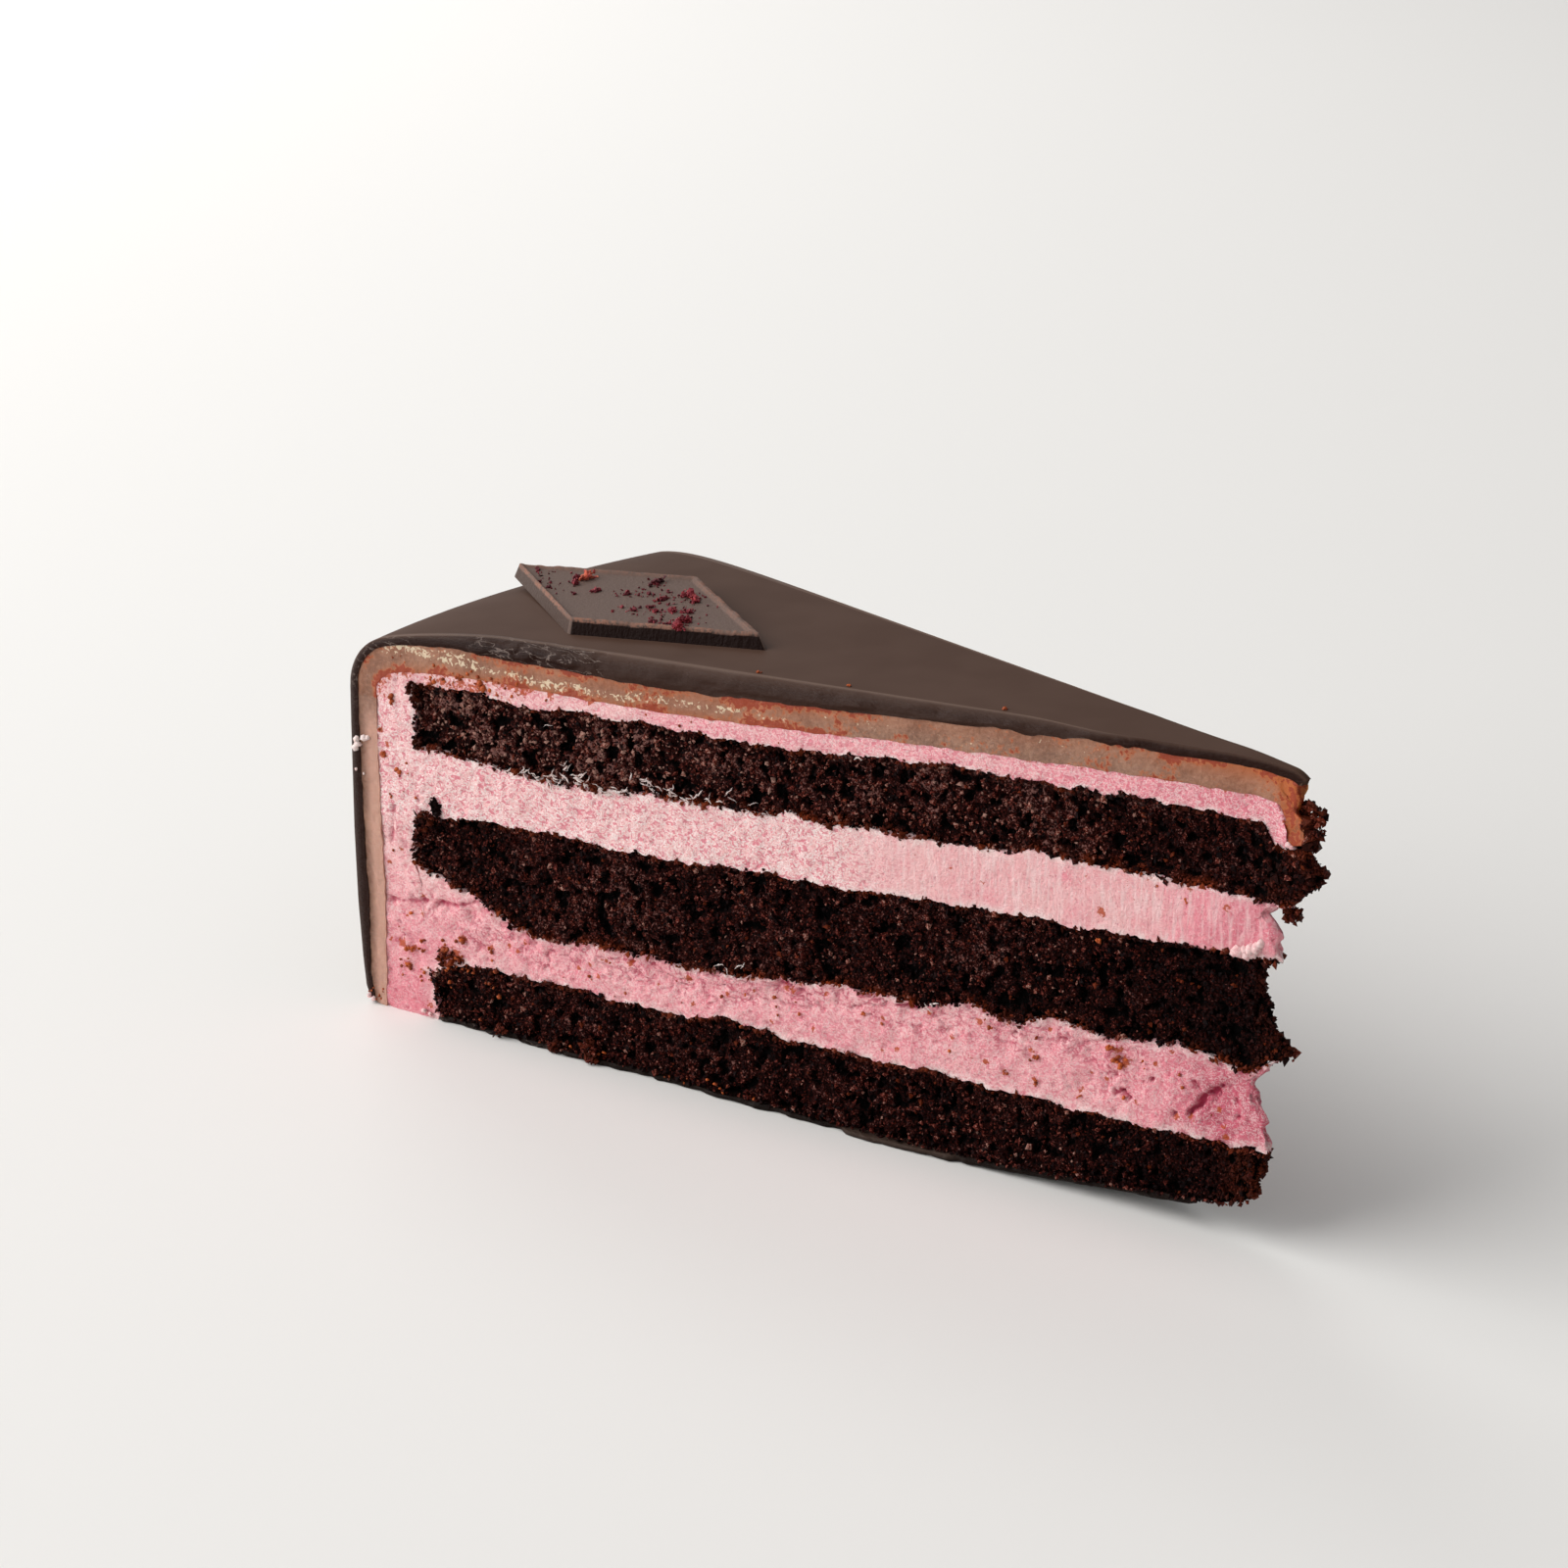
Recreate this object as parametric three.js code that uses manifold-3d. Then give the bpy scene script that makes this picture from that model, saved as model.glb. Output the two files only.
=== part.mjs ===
// Slice of a chocolate raspberry torte. Three dark sponge layers lie in raspberry cream, under a
// marzipan cover and a thin chocolate glaze, with a rhombic chocolate plaque on top.
// Lengths are millimetres and +Z is up. The slice points along +X, its cut faces look to -Y and +Y,
// and q is the distance from the torte's centre, the tip, out towards the rim.

import * as THREE from 'three';
import { mergeVertices } from 'three/addons/utils/BufferGeometryUtils.js';
import Module from 'manifold-3d';

const wasm = await Module();
wasm.setup();

// Whole slice
const torteRadius = 130;
const sliceAngle = THREE.MathUtils.degToRad(23.5);
const heightAtTip = 59.8;
const topSlope = 0.055;   // fall of the top from the tip to the rim, for each millimetre
const topFall = 3.4;   // further fall, nearly all of it just before the shoulder
const topFallPower = 17;
const shoulderRadius = 7.6;
const air = 0.3;   // gap between neighbouring pieces
const middleX = 63;   // from the middle of the slice's length to the torte's centre

// Shells over the top and down the rim
const glazeAtEnds = 1.1;
const glazeSwell = 1.5;
const glazeSwellAt = 84;
const marzipanOnTop = 3.2;
const marzipanDroop = 4.4;   // how far the knife dragged the marzipan down over the tip
const coatDroop = 3.2;

// Base film
const filmThickness = 0.9;
const liftStart = 45;   // the underside lifts off the floor from here to the tip
const liftAtTip = 3.4;

// Plaque
const plaqueLong = 47;
const plaqueShort = 21;
const plaqueThickness = 1.8;
const plaqueDraft = 0.5;
const plaqueLip = 0.3;
const plaqueAt = 100.8;
const plaqueAside = -1.8;
const plaqueTurn = THREE.MathUtils.degToRad(-5);
const plaqueLean = THREE.MathUtils.degToRad(0.5);

// Heights of the faces between the layers at the cut, as [q, height]
const spongeTopOver = [[121, 45.6], [94, 47.1], [60, 48.7], [46, 50.3], [20, 51.8], [0, 52.4]];
const spongeTopUnder = [[121, 37.4], [103, 36.8], [84, 38.1], [66, 39.1], [40, 41.2], [0, 43]];
const spongeMiddleOver = [[121, 28.2], [106, 29.5], [80, 30.4], [54, 32.3], [36, 33.8], [0, 36]];
const spongeMiddleUnder = [
  [121, 21.3], [116, 20], [103, 15.1], [74, 16.8], [45, 19.6], [5, 22], [0, 23.8],
];
const spongeBottomOver = [[119, 6.9], [113, 9], [80, 9.8], [52, 10.8], [14, 11.2], [0, 12.3]];

// Walls at the rim, from the sponges' ends outwards, as [height, q]
const spongeWall = [
  [0, 118.2], [6, 118.8], [13, 119.6], [20, 120.7], [26, 121.1], [32, 120.6], [46, 120.4],
];
const coatWall = [[0, 126.3], [9, 126.1], [16, 126], [22, 126.1], [28, 126.4], [46, 126.4]];
const marzipanWall = [[0, 128.6], [5, 128.9], [13, 128.6], [22, 129], [46, 129.1]];
const rimWall = [[0, 129.5], [6, 130.2], [14, 130.8], [24, 131], [38, 130.5], [46, 130.4]];

const colours = {
  glaze: 0x4a3b35, marzipan: 0xb18d72, cream: 0xdc8fa4, paleCream: 0xe6adb9,
  sponge: 0x2b1713, film: 0x2a1814, plaque: 0x43312b,
};

// Value at x of the line through the knots, which may run either way.
function along(knots, x) {
  const line = knots[0][0] < knots[knots.length - 1][0] ? knots : [...knots].reverse();
  const last = line.length - 1;
  if (x <= line[0][0]) return line[0][1];
  if (x >= line[last][0]) return line[last][1];
  const after = line.findIndex(([at]) => at > x);
  const [x0, y0] = line[after - 1];
  const [x1, y1] = line[after];
  return y0 + (y1 - y0) * (x - x0) / (x1 - x0);
}

// Uneven wave of a few millimetres' length, the same for the same seed, between -1 and 1.
function wave(q, side, seed) {
  return 0.5 * Math.sin(q * 0.41 + side * 2.3 + seed * 1.7)
    + 0.3 * Math.sin(q * 0.83 - side * 3.1 + seed * 4.1)
    + 0.2 * Math.sin(q * 1.57 + side * 5.3 + seed * 2.9);
}

const smooth = (low, high, x) => THREE.MathUtils.smoothstep(x, low, high);

// Plan of the slice: side runs from 0 at the near cut to 1 at the far cut. Past the blunt distance
// the width no longer shrinks, so a crumbled tip stays as wide as it is there.
function plan(q, side, z, blunt) {
  const angle = (side - 0.5) * sliceAngle;
  const radius = 0.5 * (q + blunt + Math.hypot(q - blunt, 3));
  return new THREE.Vector3(-(radius * Math.cos(angle) + q - radius), radius * Math.sin(angle), z);
}

// Closed solid over a lattice of ni by nj by nk cells: place gives the point at (i, j, k), each
// from 0 to 1. i runs from the rim to the tip, j from the near cut to the far one, k outwards.
function latticeSolid([ni, nj, nk], place) {
  const points = [];
  const numbers = new Map();
  const number = (i, j, k) => {
    const key = (i * (nj + 1) + j) * (nk + 1) + k;
    if (!numbers.has(key)) {
      numbers.set(key, points.length / 3);
      points.push(...place(i / ni, j / nj, k / nk).toArray());
    }
    return numbers.get(key);
  };
  const faces = [];
  const wall = (nu, nv, at, flip) => {
    for (let u = 0; u < nu; u++) {
      for (let v = 0; v < nv; v++) {
        const [a, b, c, d] = [at(u, v), at(u + 1, v), at(u + 1, v + 1), at(u, v + 1)];
        faces.push(...(flip ? [a, c, b, a, d, c] : [a, b, c, a, c, d]));
      }
    }
  };
  wall(ni, nj, (u, v) => number(u, v, nk), false);
  wall(ni, nj, (u, v) => number(u, v, 0), true);
  wall(ni, nk, (u, v) => number(u, 0, v), false);
  wall(ni, nk, (u, v) => number(u, nj, v), true);
  wall(nj, nk, (u, v) => number(ni, u, v), false);
  wall(nj, nk, (u, v) => number(0, u, v), true);
  const geometry = new THREE.BufferGeometry();
  geometry.setAttribute('position', new THREE.Float32BufferAttribute(points, 3));
  geometry.setIndex(faces);
  return geometry;
}

function piece(name, geometry, colour, roughness) {
  geometry.computeVertexNormals();
  const material = new THREE.MeshStandardMaterial({ color: colour, roughness, metalness: 0 });
  const mesh = new THREE.Mesh(geometry, material);
  mesh.name = name;
  return mesh;
}

// Steps from the rim to the tip, a little closer together near the tip.
const towardsTip = (i) => i + 0.35 * i * (1 - i);

// Stations along the cut: all layers share those from the first step in from the rim to the last
// one before the tip, so that faces that meet have the same facets. The ends are a piece's own.
const topSteps = 38;
const tipSteps = 5;
const lastShared = 6;
function station(step, rim, first, tip) {
  const shared = topSteps - tipSteps;
  if (step === 0) return rim;
  if (step > shared) return lastShared + (tip - lastShared) * (step - shared) / tipSteps;
  return first + (lastShared - first) * towardsTip((step - 1) / (shared - 1));
}

// Pushes a point of a cut face out of its plane.
function pushOut(point, side, depth) {
  if (side > 0 && side < 1) return point;
  const half = sliceAngle / 2;
  const outward = side === 0 ? -1 : 1;
  return point.add(new THREE.Vector3(Math.sin(half) * depth, outward * Math.cos(half) * depth, 0));
}

const topOf = (q) => heightAtTip - topSlope * q - topFall * (q / torteRadius) ** topFallPower;
const glazeThickness = (q) =>
  glazeAtEnds + glazeSwell * Math.exp(-(((q - glazeSwellAt) / 34) ** 2));
const glazeUnder = (q) => topOf(q) - glazeThickness(q);
const marzipanUnder = (q) => glazeUnder(q) - marzipanOnTop - marzipanDroop * (1 - smooth(-1.3, 2.2, q));
const coatUnder = (q) => along(spongeTopOver, q) - coatDroop * (1 - smooth(-0.1, 3.4, q));
const baseLift = (q) => liftAtTip * Math.max(0, (liftStart - q) / 40) ** 1.4;

// Layer between two heights, from the coat's wall to a broken tip. tipAt gives the tip's q from
// the layer's foot to its head, and crag is the depth of the relief on both cuts.
function layer({ under, over, tipAt, blunt, crag, ripple, seed, cells }) {
  return latticeSolid(cells, (i, j, k) => {
    const tip = tipAt[0] + (tipAt[1] - tipAt[0]) * k + tipAt[2] * Math.sin(Math.PI * k)
      + 0.8 * (2 * j - 1) ** 2;
    const rimZ = under(torteRadius) * (1 - k) + over(torteRadius) * k;
    const rim = along(spongeWall, rimZ) - air;
    const q = station(Math.round(i * topSteps), rim, 116, tip);
    const foot = under(q) + air / 2 + ripple * wave(q, j, Math.round(under(60)));
    const head = over(q) - air / 2 + ripple * wave(q, j, Math.round(over(60)));
    const point = plan(q, j, foot + (head - foot) * k, blunt);
    return pushOut(point, j, crag * wave(q * 1.3 + 5 * k, j, seed));
  });
}

// Line up the rim, round the shoulder and along the top to the tip, as [q, z] at a step. The line
// turns with the given radius where the rim meets the top, and starts at the given height.
const rimSteps = 10;
const shoulderSteps = 8;
const shoulderTurn = THREE.MathUtils.degToRad(74);
const shellSteps = rimSteps + shoulderSteps + topSteps;
function shellLine({ rimAt, top, radius, startZ, tip }, step) {
  const centreQ = rimAt(46) - radius;
  const turnQ = centreQ + radius * Math.cos(shoulderTurn);
  const turnZ = top(turnQ) - radius * Math.sin(shoulderTurn);
  if (step < rimSteps) {
    const z = startZ + (turnZ - startZ) * step / rimSteps;
    return [rimAt(z), z];
  }
  if (step < rimSteps + shoulderSteps) {
    const turned = (step - rimSteps) / shoulderSteps * shoulderTurn;
    return [centreQ + radius * Math.cos(turned), turnZ + radius * Math.sin(turned)];
  }
  const q = station(step - rimSteps - shoulderSteps, turnQ, turnQ - 3, tip);
  return [q, top(q)];
}

// Shell between an inner and an outer line, with its cut edges pushed in or out by crag.
function shell({ inner, outer, blunt, crag, seed, cells }) {
  return latticeSolid(cells, (i, j, k) => {
    const [q0, z0] = shellLine(inner, Math.round(i * shellSteps));
    const [q1, z1] = shellLine(outer, Math.round(i * shellSteps));
    const q = q0 + (q1 - q0) * k;
    const point = plan(q, j, z0 + (z1 - z0) * k, blunt);
    return pushOut(point, j, crag * wave(q * 1.1 + z0, j + 2 * k, seed));
  });
}

function spongeLayers() {
  const cells = [topSteps, 4, 3];
  const common = { crag: 0.45, ripple: 0.22, cells };
  const bottom = layer({
    ...common, under: (q) => filmThickness + baseLift(q) + 2.2 * (1 - smooth(-1, 6, q)),
    over: (q) => along(spongeBottomOver, q), tipAt: [3, 0.4, -1.2], blunt: 6, seed: 1,
  });
  const middle = layer({
    ...common, under: (q) => along(spongeMiddleUnder, q), over: (q) => along(spongeMiddleOver, q),
    tipAt: [-1.6, 2, 0.4], blunt: 4, seed: 2,
  });
  const top = layer({
    ...common, under: (q) => along(spongeTopUnder, q), over: coatUnder,
    tipAt: [-2.8, -3.8, -1.7], blunt: 5, seed: 3,
  });
  return [
    piece('sponge_bottom', bottom, colours.sponge, 0.95),
    piece('sponge_middle', middle, colours.sponge, 0.95),
    piece('sponge_top', top, colours.sponge, 0.95),
  ];
}

function creamLayers() {
  const cells = [topSteps, 4, 2];
  const common = { crag: 0.12, ripple: 0.22, cells };
  const lower = layer({
    ...common, under: (q) => along(spongeBottomOver, q), over: (q) => along(spongeMiddleUnder, q),
    tipAt: [0.4, 3.6, -0.8], blunt: 3.5, seed: 5,
  });
  const upper = layer({
    ...common, under: (q) => along(spongeMiddleOver, q), over: (q) => along(spongeTopUnder, q),
    tipAt: [-0.2, 2.2, 0], blunt: 3.5, seed: 6,
  });
  return [
    piece('cream_lower', lower, colours.cream, 0.7),
    piece('cream_upper', upper, colours.paleCream, 0.7),
  ];
}

// Chocolate film under the bottom sponge, flat on the floor out to where the tip lifts off it.
function baseFilm() {
  const film = latticeSolid([30, 4, 1], (i, j, k) => {
    const q = 117.6 + (7 - 117.6) * i;
    const z = baseLift(q) + (filmThickness - air / 2) * k;
    return pushOut(plan(q, j, z, 4), j, 0.3 * wave(q, j, 8));
  });
  return piece('chocolate_base', film, colours.film, 0.35);
}

// Cream coat, marzipan cover and glaze, each over the one before.
function shells() {
  const coatInner = {
    rimAt: (z) => along(spongeWall, z), top: (q) => coatUnder(q) + air, radius: 0.6, startZ: 0, tip: -3,
  };
  const coatOuter = {
    rimAt: (z) => along(coatWall, z) - air / 2,
    top: (q) => marzipanUnder(q) - air / 2, radius: 3.4, startZ: 0, tip: -3.4,
  };
  const marzipanInner = {
    rimAt: (z) => along(coatWall, z) + air / 2,
    top: (q) => marzipanUnder(q) + air / 2, radius: 3.7, startZ: 0.4, tip: -3.4,
  };
  const marzipanOuter = {
    rimAt: (z) => along(marzipanWall, z) - air / 2,
    top: (q) => glazeUnder(q) - air / 2, radius: 6.2, startZ: 0.4, tip: -0.6,
  };
  const glazeInner = {
    rimAt: (z) => along(marzipanWall, z) + air / 2,
    top: (q) => glazeUnder(q) + air / 2, radius: 6.5, startZ: 0.3, tip: -0.6,
  };
  const glazeOuter = {
    rimAt: (z) => along(rimWall, z), top: topOf, radius: shoulderRadius, startZ: 0.3, tip: 0.2,
  };
  const coat = shell({
    inner: coatInner, outer: coatOuter, blunt: 3.5, crag: 0.12, seed: 9, cells: [shellSteps, 4, 1],
  });
  const marzipan = shell({
    inner: marzipanInner, outer: marzipanOuter, blunt: 2.5, crag: 0.08, seed: 10,
    cells: [shellSteps, 4, 1],
  });
  const glaze = shell({
    inner: glazeInner, outer: glazeOuter, blunt: 1.5, crag: 0.1, seed: 11, cells: [shellSteps, 8, 1],
  });
  return [
    piece('cream_coat', coat, colours.cream, 0.7),
    piece('marzipan_cover', marzipan, colours.marzipan, 0.55),
    piece('glaze', glaze, colours.glaze, 0.35),
  ];
}

// Solid of the library from a geometry with shared vertices, and back.
function toSolid(geometry) {
  return new wasm.Manifold(new wasm.Mesh({
    numProp: 3,
    vertProperties: new Float32Array(geometry.getAttribute('position').array),
    triVerts: new Uint32Array(geometry.getIndex().array),
  }));
}

function toGeometry(solid) {
  const { vertProperties, triVerts } = solid.getMesh();
  const geometry = new THREE.BufferGeometry();
  geometry.setAttribute('position', new THREE.Float32BufferAttribute(vertProperties, 3));
  geometry.setIndex(new THREE.Uint32BufferAttribute(triVerts, 1));
  return geometry;
}

// Rhombic tile with drafted sides and a low lip round a flat field. x runs along its long diagonal,
// y along the short one. Each ring of corners is [inset from the top edge, height].
function plaqueTile() {
  const side = Math.hypot(plaqueLong, plaqueShort) / 2;
  const rings = [
    [-plaqueDraft, 0], [0, plaqueThickness], [0.5, plaqueThickness], [0.8, plaqueThickness - plaqueLip],
  ];
  const points = [];
  for (const [inset, z] of rings) {
    const long = plaqueLong / 2 - inset * 2 * side / plaqueShort;
    const short = plaqueShort / 2 - inset * 2 * side / plaqueLong;
    points.push(-long, 0, z, 0, -short, z, long, 0, z, 0, short, z);
  }
  const faces = [0, 3, 2, 0, 2, 1];
  for (let ring = 0; ring < rings.length - 1; ring++) {
    for (let corner = 0; corner < 4; corner++) {
      const a = ring * 4 + corner;
      const b = ring * 4 + (corner + 1) % 4;
      faces.push(a, b, b + 4, a, b + 4, a + 4);
    }
  }
  const inner = (rings.length - 1) * 4;
  faces.push(inner, inner + 1, inner + 2, inner, inner + 2, inner + 3);
  const geometry = new THREE.BufferGeometry();
  geometry.setAttribute('position', new THREE.Float32BufferAttribute(points, 3));
  geometry.setIndex(faces);
  return geometry;
}

// Freeze-dried raspberry pieces on the plaque, as [along, aside, length, width, height, turn].
const flakes = [
  [-12, 2.2, 2.8, 2.2, 1.5, 0.3], [-11.1, -0.6, 1.8, 1.3, 1, 1.1], [-6.7, -0.9, 1.9, 0.9, 0.7, 0.2],
  [-3.6, 6.3, 3, 1.3, 0.9, 0.3], [4, 5.2, 2.6, 1.8, 1.1, 0.9], [6.6, 4.2, 1.9, 1.2, 0.8, 2.2],
  [2.7, 2.3, 2, 0.9, 0.6, 0.5], [-2.6, 0.9, 1.6, 0.8, 0.6, 2.4], [7.6, -0.3, 1.9, 1, 0.7, 0.4],
  [9.4, 0.8, 1.8, 1, 0.7, 0.7], [12.3, -2.4, 2.4, 1.4, 0.9, 1.3], [13.8, -4.6, 2.4, 1.5, 0.9, 0.5],
];

// Angular grain: a low icosahedron squashed to the flake's size, sunk a third of its height.
function flakeSolid([x, y, length, width, height, turn]) {
  const grain = new THREE.IcosahedronGeometry(1, 0);
  grain.deleteAttribute('normal');
  grain.deleteAttribute('uv');
  const place = new THREE.Matrix4().compose(
    new THREE.Vector3(x, y, plaqueThickness - plaqueLip + height * 0.16),
    new THREE.Quaternion().setFromEuler(new THREE.Euler(0.2, 0.1, turn)),
    new THREE.Vector3(length / 2, width / 2, height / 2),
  );
  return toSolid(mergeVertices(grain.applyMatrix4(place)));
}

// Plaque with its raspberry pieces, lying on the sloping top near the rim.
function plaque() {
  let solid = toSolid(plaqueTile());
  for (const flake of flakes) solid = solid.add(flakeSolid(flake));
  const mesh = piece('plaque', toGeometry(solid), colours.plaque, 0.45);
  mesh.position.set(-plaqueAt, plaqueAside, topOf(plaqueAt) + air);
  mesh.rotation.set(plaqueLean, -Math.atan(topSlope), plaqueTurn, 'ZYX');
  return mesh;
}

const slice = new THREE.Group();
slice.add(baseFilm(), ...spongeLayers(), ...creamLayers(), ...shells(), plaque());
slice.position.set(middleX, 0, 0);

export default slice;
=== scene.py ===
import math

import bpy
import numpy as np
from mathutils import Matrix, Vector


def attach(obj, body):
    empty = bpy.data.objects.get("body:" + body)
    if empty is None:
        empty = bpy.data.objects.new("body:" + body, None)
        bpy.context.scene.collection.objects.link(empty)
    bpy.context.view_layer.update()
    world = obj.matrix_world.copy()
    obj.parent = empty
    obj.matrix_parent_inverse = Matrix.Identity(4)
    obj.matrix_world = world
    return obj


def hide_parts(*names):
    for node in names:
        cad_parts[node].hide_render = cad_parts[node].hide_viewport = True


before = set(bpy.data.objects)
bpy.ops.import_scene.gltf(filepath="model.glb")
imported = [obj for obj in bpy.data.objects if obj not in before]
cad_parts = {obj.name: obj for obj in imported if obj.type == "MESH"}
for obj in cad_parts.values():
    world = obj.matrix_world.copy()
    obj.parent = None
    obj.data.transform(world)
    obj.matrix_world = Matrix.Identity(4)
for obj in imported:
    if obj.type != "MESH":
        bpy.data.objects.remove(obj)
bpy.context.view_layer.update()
mm = 0.001

# The slice's own values, nearly all of them as in the solids. q is the distance from the torte's
# centre, the tip, out towards the rim; side runs from 0 at the near cut to 1 at the far cut
torte = dict(
    radius=130, angle=math.radians(23.5), middleX=63, raggedEdge=0.6, sideSpan=37,
    heightAtTip=59.8, slope=0.055, fall=3.4, fallPower=17,
    tipBend=0.008, bendFrom=9, tipLip=0.5, lipFrom=0.4, lipReach=1.8,
    shoulderRadius=7.6, shoulderTurn=math.radians(74), wallTop=46.0,
    glazeAtEnds=1.1, glazeSwell=1.5, glazeSwellAt=84, glazeSwellReach=34,
    marzipanOnTop=3.2, marzipanDroop=4.6, marzipanDroopAt=(-0.4, 1.9),
    coatDroop=2.6, coatDroopAt=(1.5, 3.8), spongesEndNear=119.0, tipHollow=0.8,
    filmThickness=0.9, liftStart=45, liftAtTip=3.4, liftOver=40, liftPower=1.4,
)
halfAngle = torte["angle"] / 2
# Where the broken tip ends at each height, as [height, q]
tipLine = [
    [3.9, 5.4], [5.7, 2.9], [7.6, 1.1], [9.4, 0], [11.5, 0], [13, 0.3], [16, 0.5], [18.8, 1.4],
    [20.4, 2.5], [22.2, 2.4], [23.4, 0.5], [24.4, -1.3], [25.4, -1.5], [26.3, -1.1], [27.2, 0.2],
    [28.8, 0.5], [29.8, 0.1], [31.6, 0.8], [33.4, 1.3], [34.9, 1], [35.6, 0.2], [37.6, -0.1],
    [38.4, 0.4], [39.6, 1.4], [41.8, 1.6], [42.8, -1.2], [43.8, -2.2], [45.1, -4], [46.2, -4.7],
    [48, -4.4], [48.7, -3.3], [50, -2.9],
]

# Heights of the faces between the layers along the cut, as [q, height]
faceHeights = dict(
    spongeTopOver=[[121, 45.6], [111.5, 46.5], [105.5, 46.1], [94, 47], [82, 47.5], [71, 48],
                   [60, 48.7], [50, 50.1], [39, 50.8], [29, 51.2], [19, 51.8], [0, 52.4]],
    spongeTopUnder=[[121, 37.4], [109, 37.3], [103, 36.8], [94, 37.2], [85, 38.2], [74, 38.8],
                    [67, 39.1], [65.6, 40.2], [60, 39.7], [55, 40.4], [44, 40.8], [34, 41.8],
                    [32, 43], [29.5, 42.1], [19, 42.6], [0, 43]],
    spongeMiddleOver=[[121, 28.2], [113.5, 29.1], [103, 29.8], [94, 30], [79.5, 30.4], [68, 31.6],
                      [57, 32], [52, 33], [44, 33.1], [36, 34], [26, 34.3], [16, 35], [0, 36.2]],
    spongeMiddleUnder=[[121, 21.3], [118.4, 20.4], [112, 18.7], [106, 16.1], [103, 15.1],
                       [94, 16.1], [74, 16.7], [65, 18.2], [57, 19.2], [46, 19.4], [41, 20.9],
                       [33, 20.5], [28.6, 22], [23, 21.2], [13, 22.6], [4, 21.5], [0, 23.8]],
    spongeBottomOver=[[121, 6.6], [118, 6.9], [114, 8.8], [94, 9.6], [80, 9.6], [74, 10.9],
                      [65, 10.2], [49, 11], [33, 11.1], [20, 11.2], [10, 11.5], [0, 12.3]],
)
# Walls at the rim, from the sponges' ends outwards, as [height, q]
walls = dict(
    sponge=[[0, 118.2], [6, 118.8], [13, 119.6], [20, 120.7], [26, 121.1], [32, 120.6], [46, 120.4]],
    coat=[[0, 126.3], [9, 126.1], [16, 126], [22, 126.1], [28, 126.4], [46, 126.4]],
    marzipan=[[0, 128], [5, 128.8], [13, 128.6], [22, 128.9], [34, 129.2], [46, 129.2]],
    rim=[[0, 129], [2, 129.9], [6, 130.3], [14, 130.8], [24, 131], [38, 130.9], [46, 130.8]],
)


def along(knots, x):  # straight line through the knots, held level past both ends
    line = np.array(sorted(knots))
    return np.interp(x, line[:, 0], line[:, 1])


# 0 up to low, 1 from high on, and a smooth S between them; it falls where high is the smaller
def smoothStep(low, high, x):
    t = np.clip((x - low) / (high - low), 0, 1)
    return t * t * (3 - 2 * t)


def zone(x, low, high, soft):  # 1 between low and high, and a smooth fall to 0 outside
    return smoothStep(low - soft, low, x) * (1 - smoothStep(high, high + soft, x))


# Whole-number hash of three grid numbers and a seed, spread evenly from 0 to 1
def scrambled(ix, iy, iz, seed):
    keep = 0xFFFFFFFF
    mixed = (ix * 73856093 ^ iy * 19349663 ^ iz * 83492791 ^ (seed * 40503 + 977)) & keep
    mixed = ((mixed ^ (mixed >> 15)) * 2246822519) & keep
    mixed = ((mixed ^ (mixed >> 13)) * 3266489917) & keep
    return ((mixed ^ (mixed >> 16)) & 0xFFFFFF) / 0x1000000


# Rolling noise from -1 to 1: hashed values at the corners of cells of the given size, blended
# across each cell with a smooth S
def softNoise(points, size, seed):
    scaled = points / size
    cell = np.floor(scaled).astype(np.int64)
    f = scaled - cell
    f = f * f * (3 - 2 * f)
    total = np.zeros(len(points))
    for corner in range(8):
        step = np.array([corner & 1, corner >> 1 & 1, corner >> 2 & 1])
        weight = np.prod(np.where(step, f, 1 - f), axis=1)
        total += weight * scrambled(*(cell + step).T, seed)
    return total * 2 - 1


# Grain pattern: each cell of the given size holds one scattered centre. Gives the distance to the
# nearest centre, in cells, and that centre's own random value
def grainNoise(points, size, seed):
    scaled = points / size
    cell = np.floor(scaled).astype(np.int64)
    nearest = np.full(len(points), 9.0)
    value = np.zeros(len(points))
    for step in np.ndindex(3, 3, 3):
        at = cell + np.array(step) - 1
        centre = at + np.stack([scrambled(*at.T, seed + axis) for axis in range(3)], axis=1)
        distance = np.linalg.norm(scaled - centre, axis=1)
        value = np.where(distance < nearest, scrambled(*at.T, seed + 3), value)
        nearest = np.minimum(nearest, distance)
    return nearest, value


def spotsOn(x, side, z):  # where noise is read on a line or face; side stands for its mm across
    return np.stack([x, side * torte["sideSpan"], z + 0 * x], axis=1)


# Closed skin of a box lattice: u from rim to tip, v from near cut to far cut, w from inner to outer
# face. Gives the three parameters of each point, the quads of the six walls, each quad's wall, and
# the point numbers of each wall as a grid
def latticeSkin(u, v, w):
    inside = np.zeros((len(u), len(v), len(w)), bool)
    inside[1:-1, 1:-1, 1:-1] = True
    number = np.full(inside.shape, -1)
    number[~inside] = np.arange((~inside).sum())
    grids = [number[:, :, -1], number[:, :, 0], number[:, 0, :], number[:, -1, :], number[-1, :, :],
             number[0, :, :]]
    quads, wallOf = [], []
    for wall, grid in enumerate(grids):
        corners = [grid[:-1, :-1], grid[1:, :-1], grid[1:, 1:], grid[:-1, 1:]]
        if wall % 2:
            corners.reverse()
        quads.append(np.stack(corners, axis=-1).reshape(-1, 4))
        wallOf.append(np.full(len(quads[-1]), wall))
    params = [part[~inside] for part in np.meshgrid(u, v, w, indexing="ij")]
    return params, np.concatenate(quads), np.concatenate(wallOf), grids


nearWall, farWall, tipWall = 2, 3, 4  # their places among the six walls of a skin


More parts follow.
